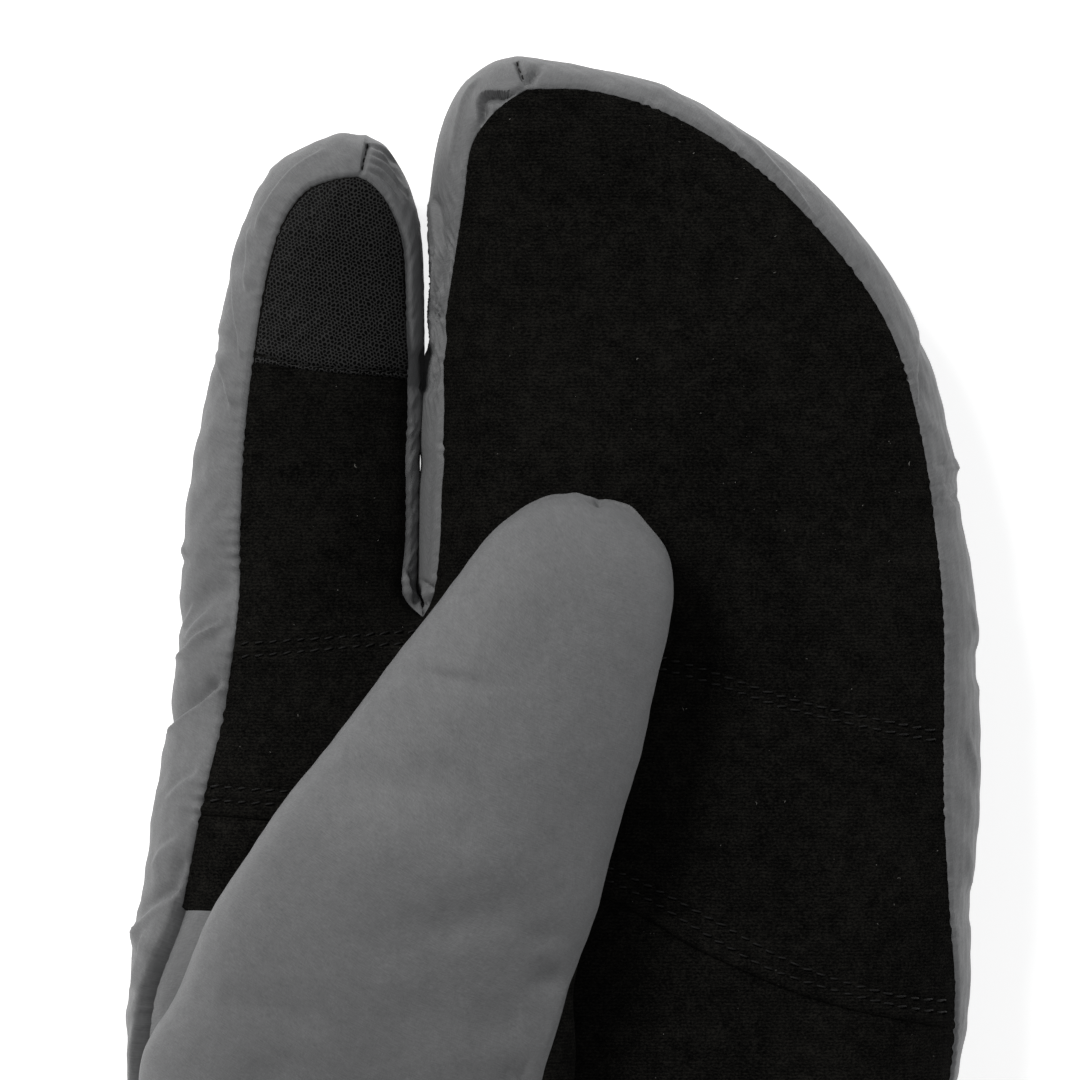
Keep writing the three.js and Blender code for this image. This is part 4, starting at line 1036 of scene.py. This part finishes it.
def build_thumb():
    """The thumb as two panels, parted along its sides, with soft bands and a gathered tip on
    its top side."""
    points, turn = thumb_grid(170, 128)
    s = Sheet("thumb", points)
    middle = (turn[:-1] + turn[1:]) / 2
    top = (middle < GRIP_LEFT) | (middle > GRIP_RIGHT)
    s.panel[:] = np.where(top, "thumb_back", "thumb_grip")[None, :]
    x, y, z = (points[..., k] for k in range(3))
    nearest = np.minimum(np.abs(turn - GRIP_LEFT), np.abs(turn - GRIP_RIGHT)) * 14
    s.lift += 0.28 * waves(51, x, y, z, length=34)
    s.lift += 0.05 * waves(53, x, y, z, length=9) + seam_dip(nearest[None, :], 0.6, 1.0)
    on_top = smooth_step(-0.1, 0.2, np.sin(turn))[None, :]
    s.lift += ridge_lift(x, y, THUMB_RIDGES) * on_top
    s.lift *= smooth_step(0, 3, s.up)
    return s


thumb = Sewn([build_thumb()])
sunk = thumb.base[:, 2] < pillow(thumb.base[:, 0], thumb.base[:, 1], True) - 3.0
thumb.keep(~sunk[thumb.tri].all(axis=1))
thumb_outer = thumb.lifted()


# Materials

def add_node(tree, kind, sockets=None, **settings):
    """A node with its settings, and values for its sockets by name."""
    node = tree.nodes.new(kind)
    for name, value in settings.items():
        setattr(node, name, value)
    for name, value in (sockets or {}).items():
        node.inputs[name].default_value = value
    return node


def new_material(name, colour, roughness, specular):
    material = bpy.data.materials.new(name)
    material.use_nodes = True
    shader = material.node_tree.nodes["Principled BSDF"]
    shader.inputs["Base Color"].default_value = (*colour, 1.0)
    shader.inputs["Roughness"].default_value = roughness
    shader.inputs["Specular IOR Level"].default_value = specular
    return material, material.node_tree, shader


def cloth_place(tree, across, along):
    """The cloth's own place in millimetres, counted in threads this wide and this long."""
    place = add_node(tree, "ShaderNodeUVMap", uv_map="cloth")
    scaled = add_node(tree, "ShaderNodeMapping", {"Scale": (1 / across, 1 / along, 1.0)})
    tree.links.new(place.outputs["UV"], scaled.inputs["Vector"])
    return scaled.outputs["Vector"]


def object_place(tree, sizes):
    """The place on the object, counted in lengths given in millimetres."""
    place = add_node(tree, "ShaderNodeTexCoord")
    scaled = add_node(tree, "ShaderNodeMapping", {"Scale": [1000.0 / v for v in sizes]})
    tree.links.new(place.outputs["Object"], scaled.inputs["Vector"])
    return scaled.outputs["Vector"]


def noise(tree, place, detail=2.0, roughness=0.6):
    node = add_node(tree, "ShaderNodeTexNoise",
                    {"Scale": 1.0, "Detail": detail, "Roughness": roughness})
    tree.links.new(place, node.inputs["Vector"])
    return node.outputs["Fac"]


def mixed(tree, *parts):
    """A weighted sum of patterns."""
    total = None
    for pattern, weight in parts:
        step = add_node(tree, "ShaderNodeMath", operation="MULTIPLY_ADD")
        tree.links.new(pattern, step.inputs[0])
        step.inputs[1].default_value = weight
        step.inputs[2].default_value = 0.0
        if total is not None:
            tree.links.new(total, step.inputs[2])
        total = step.outputs[0]
    return total


def tinted(tree, pattern, *stops):
    """A pattern turned to colour through the stops of a ramp."""
    ramp = add_node(tree, "ShaderNodeValToRGB")
    while len(ramp.color_ramp.elements) < len(stops):
        ramp.color_ramp.elements.new(0.5)
    for element, (place, colour) in zip(ramp.color_ramp.elements, stops):
        element.position = place
        element.color = (*colour, 1.0)
    tree.links.new(pattern, ramp.inputs["Fac"])
    return ramp.outputs["Color"]


def set_bump(tree, shader, pattern, distance, strength=1.0):
    bump = add_node(tree, "ShaderNodeBump", {"Strength": strength, "Distance": distance * MM})
    tree.links.new(pattern, bump.inputs["Height"])
    tree.links.new(bump.outputs["Normal"], shader.inputs["Normal"])


def make_grey_nylon():
    """Fine threads both ways, a soft heather and slow mottling, with a faint sheen."""
    material, tree, shader = new_material("grey_nylon", (0.165, 0.167, 0.172), 0.55, 0.3)
    across = noise(tree, cloth_place(tree, 1.1, 0.2))
    along = noise(tree, cloth_place(tree, 0.2, 0.9))
    mottle = noise(tree, cloth_place(tree, 2.6, 2.6))
    slow = noise(tree, cloth_place(tree, 24.0, 24.0))
    weave = mixed(tree, (across, 0.5), (along, 0.5))
    colour = mixed(tree, (across, 0.42), (along, 0.28), (mottle, 0.2), (slow, 0.1))
    tree.links.new(tinted(tree, colour, (0.3, (0.115, 0.117, 0.12)),
                          (0.5, (0.166, 0.168, 0.172)), (0.7, (0.225, 0.227, 0.232))),
                   shader.inputs["Base Color"])
    shader.inputs["Sheen Weight"].default_value = 0.12
    shader.inputs["Sheen Roughness"].default_value = 0.35
    set_bump(tree, shader, weave, 0.10)
    return material


def make_black_knit():
    """Low ribs across the hand, six tenths of a millimetre apart, and a fibrous speckle."""
    material, tree, shader = new_material("black_knit", (0.0045, 0.0045, 0.0042), 0.95, 0.02)
    ribs = add_node(tree, "ShaderNodeTexWave",
                    {"Scale": 0.5236, "Distortion": 1.6, "Detail": 2.0, "Detail Scale": 1.2},
                    wave_type="BANDS", bands_direction="Y")
    tree.links.new(object_place(tree, (1.0, 1.0, 1.0)), ribs.inputs["Vector"])
    fibres = noise(tree, object_place(tree, (0.42, 0.3, 0.35)), 3.0, 0.7)
    mottle = noise(tree, object_place(tree, (3.0, 3.0, 3.0)))
    slow = noise(tree, object_place(tree, (26.0, 26.0, 26.0)))
    colour = mixed(tree, (fibres, 0.64), (mottle, 0.18), (slow, 0.13), (ribs.outputs["Fac"], 0.05))
    tree.links.new(tinted(tree, colour, (0.38, (0.0014, 0.0014, 0.0014)),
                          (0.5, (0.0064, 0.0062, 0.0057)), (0.62, (0.0165, 0.0157, 0.0137))),
                   shader.inputs["Base Color"])
    set_bump(tree, shader, mixed(tree, (fibres, 0.92), (ribs.outputs["Fac"], 0.08)), 0.10)
    return material


def make_pebbled_leather():
    """Near-black leather with small round pits six tenths of a millimetre apart. Three cosine
    waves at sixty degrees to each other add up to pits in staggered rows, and a slow noise
    pushes the rows out of line."""
    material, tree, shader = new_material("pebbled_leather", (0.01, 0.01, 0.0102), 0.5, 0.06)
    place = object_place(tree, (0.66, 0.66, 0.66))
    push = add_node(tree, "ShaderNodeTexNoise", {"Scale": 0.42, "Detail": 1.0})
    tree.links.new(place, push.inputs["Vector"])
    moved = add_node(tree, "ShaderNodeVectorMath", operation="MULTIPLY_ADD")
    moved.inputs[1].default_value = (1.5, 1.5, 0.0)
    tree.links.new(push.outputs["Color"], moved.inputs[0])
    tree.links.new(place, moved.inputs[2])
    waves_sum = []
    for degrees in (8, 68, 128):
        aim = add_node(tree, "ShaderNodeVectorMath", operation="DOT_PRODUCT")
        aim.inputs[1].default_value = (7.255 * math.cos(math.radians(degrees)),
                                       7.255 * math.sin(math.radians(degrees)), 0.0)
        tree.links.new(moved.outputs["Vector"], aim.inputs[0])
        wave = add_node(tree, "ShaderNodeMath", operation="COSINE")
        tree.links.new(aim.outputs["Value"], wave.inputs[0])
        waves_sum.append((wave.outputs[0], 1.0))
    grain = noise(tree, object_place(tree, (0.2, 0.2, 0.2)), 3.0)
    patches = noise(tree, object_place(tree, (5.0, 5.0, 5.0)))
    pits = mixed(tree, *waves_sum, (grain, 1.0), (patches, 1.0))
    web = add_node(tree, "ShaderNodeMapRange", {"From Min": 1.7, "From Max": 0.4},
                   interpolation_type="SMOOTHSTEP")
    tree.links.new(pits, web.inputs["Value"])
    # painted shade and light: the pits are coloured near-black as if shaded, and the web between
    # them lighter as if lit
    colour = mixed(tree, (web.outputs["Result"], 0.75), (grain, 0.25))
    tree.links.new(tinted(tree, colour, (0.15, (0.0004, 0.0004, 0.0004)),
                          (0.6, (0.011, 0.011, 0.0111)), (0.95, (0.034, 0.0337, 0.0335))),
                   shader.inputs["Base Color"])
    gloss = add_node(tree, "ShaderNodeMapRange", {"To Min": 0.42, "To Max": 0.6})
    tree.links.new(patches, gloss.inputs["Value"])
    tree.links.new(gloss.outputs["Result"], shader.inputs["Roughness"])
    set_bump(tree, shader, mixed(tree, (web.outputs["Result"], 1.0), (grain, 0.2)), 0.2)
    return material


def make_black_thread():
    """Twisted thread, a little lighter and glossier than the knit."""
    material, tree, shader = new_material("black_thread", (0.008, 0.008, 0.0076), 0.6, 0.25)
    strands = noise(tree, object_place(tree, (0.12, 0.3, 0.12)))
    tree.links.new(tinted(tree, strands, (0.3, (0.0025, 0.0025, 0.0025)),
                          (0.7, (0.0105, 0.0102, 0.0095))), shader.inputs["Base Color"])
    set_bump(tree, shader, strands, 0.06)
    return material


def make_grey_thread():
    """The grey seams' thread, close to the nylon's own colour."""
    material, tree, shader = new_material("grey_thread", (0.12, 0.122, 0.126), 0.6, 0.3)
    strands = noise(tree, object_place(tree, (0.12, 0.3, 0.12)))
    tree.links.new(tinted(tree, strands, (0.3, (0.09, 0.092, 0.095)),
                          (0.7, (0.16, 0.162, 0.167))), shader.inputs["Base Color"])
    set_bump(tree, shader, strands, 0.06)
    return material


def make_lint():
    """Pale fluff, some of it whiter."""
    material, tree, shader = new_material("lint", (0.12, 0.118, 0.11), 0.9, 0.1)
    shades = noise(tree, object_place(tree, (2.0, 2.0, 2.0)))
    tree.links.new(tinted(tree, shades, (0.35, (0.03, 0.029, 0.027)),
                          (0.65, (0.22, 0.215, 0.2))), shader.inputs["Base Color"])
    return material


def make_painted_stitch_shadow():
    """Painted shadow: near-black knit that stands in for the shade in a stitch's hollow."""
    material, tree, shader = new_material("painted_stitch_shadow", (0.0008, 0.0008, 0.0008), 1.0, 0.0)
    fibres = noise(tree, object_place(tree, (0.3, 0.2, 0.3)))
    tree.links.new(tinted(tree, fibres, (0.3, (0.0003, 0.0003, 0.0003)),
                          (0.7, (0.0018, 0.0018, 0.0017))), shader.inputs["Base Color"])
    return material


grey_nylon = make_grey_nylon()
black_knit = make_black_knit()
pebbled_leather = make_pebbled_leather()
black_thread = make_black_thread()
grey_thread = make_grey_thread()
lint = make_lint()
# near-black knit for the lenses beside the stitches: painted shadow
painted_stitch_shadow = make_painted_stitch_shadow()


# Panels

GREY = {"back_shell", "fork_gusset", "thumb_gusset", "thumb_back", "cuff"}


def finish_panel(piece, node, material):
    piece.data.materials.append(material)
    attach(piece, "root")
    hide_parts(node)


def add_panels(sewn, outer, wall):
    """Each panel of a sewn shape, with its wall inwards, in its own cloth."""
    inner = sewn.base - sewn.normals * wall
    for name in sorted(set(sewn.panel)):
        mine = sewn.panel == name
        points, faces, uv = with_wall(outer, inner, sewn.tri[mine], sewn.marks[sewn.raw[mine]])
        piece = add_mesh(name + "_cloth", points, faces, uv)
        if name in GREY:
            finish_panel(piece, name, grey_nylon)
        else:
            finish_panel(piece, name, black_knit)


add_panels(hand, hand_outer, WALL)
add_panels(thumb, thumb_outer, THUMB_WALL)


# The fingertip patch

def build_patch():
    """The patch lies on the index fingertip, inside the palm's edge and above a nearly
    straight lower edge: rows from that edge to the tip, a little proud of the palm."""
    edge_line = seam_line(PATCH_EDGE)
    sides = []
    for edge in (left_edge, index_inner):
        line = edge[:, :2] + edge[:, 3:5] * (edge[:, 2:3] + 0.3)
        over = line[:, 1] - np.interp(line[:, 0], edge_line[:, 0], edge_line[:, 1])
        line = line[np.argmax(over > 0):]
        sides.append(spaced(line, 0, lengths(line)[-1], PATCH_ROWS))
    bottom = between(edge_line, sides[0][0], sides[1][0], PATCH_COLUMNS)
    tip = np.repeat(sides[0][-1:], PATCH_COLUMNS + 1, axis=0)
    s = Sheet("patch", raised(coons(sides[0], sides[1], bottom, tip), True))
    s.panel[:] = "index_patch"
    x, y = s.points[..., 0], s.points[..., 1]
    nearest = np.minimum(np.minimum(s.over, s.over[:, -1:] - s.over), s.up)
    s.lift += -0.45 + 0.75 * smooth_step(0, 0.4, nearest)
    s.lift += 0.3 * waves(31, x, y, length=34)
    s.lift += 0.04 * waves(71, x, y, length=3.0)
    off, _ = from_line(x, y, PATCH_STITCH)
    s.lift += seam_dip(off, 0.5, 0.35)
    return s


patch = build_patch()
patch_tri, _ = triangles_of(patch, 0)
patch_base = patch.points.reshape(-1, 3)
patch_normals = point_normals(patch_base, patch_tri)
patch_outer = patch_base + patch_normals * patch.lift.reshape(-1, 1)
patch_marks = np.column_stack([patch.over.ravel(), patch.up.ravel()])
legs = patch_base[patch_tri[:, 1:]] - patch_base[patch_tri[:, :1]]
patch_tri = patch_tri[np.linalg.norm(np.cross(legs[:, 0], legs[:, 1]), axis=1) > 1e-7]
points, faces, uv = with_wall(patch_outer, patch_base - patch_normals * 0.8, patch_tri,
                              patch_marks[patch_tri])
patch_piece = add_mesh("index_patch_leather", points, faces, uv)
finish_panel(patch_piece, "index_patch", pebbled_leather)


# Stitches and lint

def cloth_tree(*panels):
    """The hand's cloth of some panels, for plumb lines to meet."""
    faces = hand.tri[np.isin(hand.panel, panels)]
    return BVHTree.FromPolygons(hand_outer.tolist(), faces.tolist())


palm_tree = cloth_tree("palm_fingers", "palm_knuckles", "palm_heel")
patch_tree = BVHTree.FromPolygons(patch_outer.tolist(), patch_tri.tolist())
tip_tree = cloth_tree("back_shell", "fork_gusset")
cuff_tree = cloth_tree("cuff")


def drop_to(tree, places, from_above=True):
    """Where a plumb line through each place in plan meets the cloth, and which way the cloth
    faces there; a place off the cloth gives not-a-number."""
    start, way = (300.0, -1.0) if from_above else (-300.0, 1.0)
    hits = [tree.ray_cast((x, y, start), (0.0, 0.0, way)) for x, y in places]
    lost = (math.nan,) * 3
    return (np.array([tuple(h[0]) if h[0] else lost for h in hits]),
            np.array([tuple(h[1]) if h[0] else lost for h in hits]))


def tubes(paths, radii, sides):
    """A closed tube along each path: rings of an even polygon, square to the path, with a
    point at each end. Paths are an array of path, ring and xyz; radii of path and ring."""
    count, rings = radii.shape
    ahead = unit(np.gradient(paths, axis=1))
    across = unit(np.cross(ahead, np.array([0.12, 0.09, 1.0])))
    up = np.cross(across, ahead)
    turn = 2 * math.pi * np.arange(sides) / sides
    ring = (across[:, :, None] * np.cos(turn)[:, None] + up[:, :, None] * np.sin(turn)[:, None])
    body = paths[:, :, None] + ring * radii[:, :, None, None]
    points = np.concatenate([body.reshape(count, -1, 3), paths[:, :1], paths[:, -1:]], axis=1)
    a = np.arange(sides)
    b = (a + 1) % sides
    first = (np.arange(rings - 1) * sides)[:, None]
    walls = np.stack([np.stack([first + a, first + b, first + b + sides], -1),
                      np.stack([first + a, first + b + sides, first + a + sides], -1)], 2)
    last = (rings - 1) * sides
    caps = np.concatenate([np.stack([b, a, np.full(sides, rings * sides)], 1),
                           np.stack([last + a, last + b, np.full(sides, rings * sides + 1)], 1)])
    faces = np.concatenate([walls.reshape(-1, 3), caps])
    step = points.shape[1] * np.arange(count)[:, None, None]
    return points.reshape(-1, 3), (faces[None] + step).reshape(-1, 3)


def stitch_paths(tree, table, pitch, length, tilt, from_above=True):
    """Stitches along a line on the cloth, no two quite alike. Each runs a little askew of the
    line, its middle lies on the cloth and its ends dive into it: the height is that of one
    less the sixth power of the way from its middle."""
    line = plan(*np.array(table).T)
    line = through(line, np.linspace(0, len(line) - 1, 300))
    run = lengths(line)
    at = np.arange(pitch * 0.7, run[-1] - pitch * 0.6, pitch)
    middle = np.column_stack([np.interp(at, run, line[:, k]) for k in (0, 1)])
    ahead = unit(np.column_stack([np.interp(at + 0.5, run, line[:, k])
                                  - np.interp(at - 0.5, run, line[:, k]) for k in (0, 1)]))
    draw = np.random.default_rng(91)
    lean = np.tan(np.radians(tilt + 4 * draw.normal(size=(len(at), 1))))
    size = length * (1 + 0.09 * draw.normal(size=(len(at), 1)))
    way = (ahead + np.column_stack([-ahead[:, 1], ahead[:, 0]]) * lean) * size / 2
    u = np.linspace(-1, 1, STITCH_RINGS)
    places = middle[:, None] + way[:, None] * u[None, :, None]
    hit, facing = drop_to(tree, places.reshape(-1, 2), from_above)
    hit, facing = (v.reshape(len(at), STITCH_RINGS, 3) for v in (hit, facing))
    found = ~np.isnan(hit).any(axis=(1, 2))
    proud = 0.17 - 0.5 * np.abs(u) ** 6
    return hit[found] + facing[found].mean(axis=1, keepdims=True) * proud[None, :, None]


def add_trim(name, points, faces, material, slot):
    piece = add_mesh(name, points, faces)
    piece.data.materials.append(material)
    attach(piece, "root")


def add_stitches(name, rows, thickness, material, slot):
    """Thread along each path, thinner at its ends."""
    paths = np.concatenate(rows)
    paths[..., 2] = np.maximum(paths[..., 2], thickness / 2)
    u = np.linspace(-1, 1, STITCH_RINGS)
    radii = np.repeat((thickness / 2 * (1 - 0.35 * u**4))[None], len(paths), axis=0)
    add_trim(name, *tubes(paths, radii, 7), material, slot)


def add_painted_stitch_shadows(name, rows, width, aside):
    """Painted shadow for the hollow that each stitch pulls into the cloth: a near-black lens
    beside the thread, its half width falling as the root of one less the square of the way
    along."""
    paths = np.concatenate(rows)
    u = np.linspace(-1, 1, STITCH_RINGS)
    middle = paths.mean(axis=1, keepdims=True)
    paths = middle + (paths - middle) * 1.08 + np.array([0.0, -aside, 0.0])
    paths[..., 2] = middle[..., 2] - 0.1 + (paths[..., 2] - middle[..., 2]) * 0.15
    radii = np.repeat((width / 2 * np.sqrt(1.02 - u**2))[None], len(paths), axis=0)
    add_trim(name, *tubes(paths, radii, 6), painted_stitch_shadow, "black_palm")


palm_rows = [stitch_paths(palm_tree, t, 2.3, 1.6, 12)
             for t in (KNUCKLE_UPPER, KNUCKLE_LOWER, HEEL_UPPER, HEEL_LOWER)]
add_stitches("palm_stitches", palm_rows, 0.4, black_thread, "black_palm")
# near-black lenses beside the palm stitches: painted shadow
add_painted_stitch_shadows("palm_painted_stitch_shadows", palm_rows, 0.4, 0.24)
patch_rows = [stitch_paths(patch_tree, PATCH_STITCH, 2.0, 1.4, 8)]
add_stitches("patch_stitches", patch_rows, 0.32, black_thread, "black_palm")
# near-black lenses beside the patch stitches: painted shadow
add_painted_stitch_shadows("patch_painted_stitch_shadows", patch_rows, 0.42, 0.16)
tip_rows = [stitch_paths(tip_tree, t, 1.25, 0.8, 0) for t in (INDEX_TIP_SEAM, FINGERS_TIP_SEAM)]
add_stitches("tip_seam_stitches", tip_rows, 0.26, black_thread, "black_palm")
HEM = [(side, 10 / MITT_LENGTH) for side in np.linspace(-0.37, 0.37, 9)]
add_stitches("cuff_stitches", [stitch_paths(cuff_tree, HEM, 2.8, 2.0, 0),
                               stitch_paths(cuff_tree, HEM, 2.8, 2.0, 0, False)],
             0.4, grey_thread, "grey_shell")


def add_lint(count):
    """Specks and short bent fibres of fluff caught on the knit, at places drawn at random."""
    draw = np.random.default_rng(81)
    places = plan(draw.uniform(-0.43, 0.47, count), draw.uniform(0.3, 0.97, count))
    hit, _ = drop_to(palm_tree, places)
    hit = hit[~np.isnan(hit).any(axis=1)]
    n = len(hit)
    u = np.linspace(-1, 1, 5)
    turn = draw.uniform(0, math.pi, n)
    ahead = np.column_stack([np.cos(turn), np.sin(turn), np.zeros(n)])
    side = np.column_stack([-ahead[:, 1], ahead[:, 0], np.zeros(n)])
    size = 0.1 * np.exp(draw.normal(0, 0.6, n)).clip(0.4, 4.0)
    curl = draw.normal(0, 0.35, n) * size
    paths = (hit[:, None] + ahead[:, None] * (u[None, :] * size[:, None])[..., None]
             + side[:, None] * (u[None, :] ** 2 * curl[:, None])[..., None])
    paths[..., 2] += 0.05
    radii = draw.uniform(0.045, 0.085, n)[:, None] * (1 - 0.5 * u**2)[None, :]
    add_trim("lint_specks", *tubes(paths, radii, 4), lint, "black_palm")


add_lint(230)


# Floor and light

def set_floor():
    mesh = bpy.data.meshes.new("floor")
    mesh.from_pydata([(-3, -3, 0), (3, -3, 0), (3, 3, 0), (-3, 3, 0)], [], [(0, 1, 2, 3)])
    floor = bpy.data.objects.new("floor", mesh)
    bpy.context.scene.collection.objects.link(floor)
    material, tree, shader = new_material("pale_floor", (0.9, 0.9, 0.9), 0.9, 0.1)
    shader.inputs["Emission Color"].default_value = (1.0, 1.0, 1.0, 1.0)
    shader.inputs["Emission Strength"].default_value = 0.7
    mesh.materials.append(material)


def add_softbox(name, place, size, power, colour):
    light = bpy.data.lights.new(name, "AREA")
    light.shape = "DISK"
    light.size = size
    light.energy = power
    light.color = colour
    holder = bpy.data.objects.new(name, light)
    holder.location = place
    aim = Vector((0.0, 0.03, 0.0)) - Vector(place)
    holder.rotation_euler = aim.to_track_quat("-Z", "Y").to_euler()
    bpy.context.scene.collection.objects.link(holder)


set_floor()
add_softbox("key", (-1.75, 1.8, 2.85), 1.2, 78.0, (1.0, 0.995, 0.98))
add_softbox("fill", (2.85, 0.75, 1.65), 3.0, 10.0, (0.95, 0.975, 1.0))
add_softbox("rim", (0.2, 3.2, 1.0), 1.6, 4.0, (0.97, 0.985, 1.0))

world = bpy.data.worlds.new("studio")
bpy.context.scene.world = world
world.use_nodes = True
world.node_tree.nodes["Background"].inputs["Color"].default_value = (1.0, 1.0, 1.0, 1.0)
world.node_tree.nodes["Background"].inputs["Strength"].default_value = 0.25
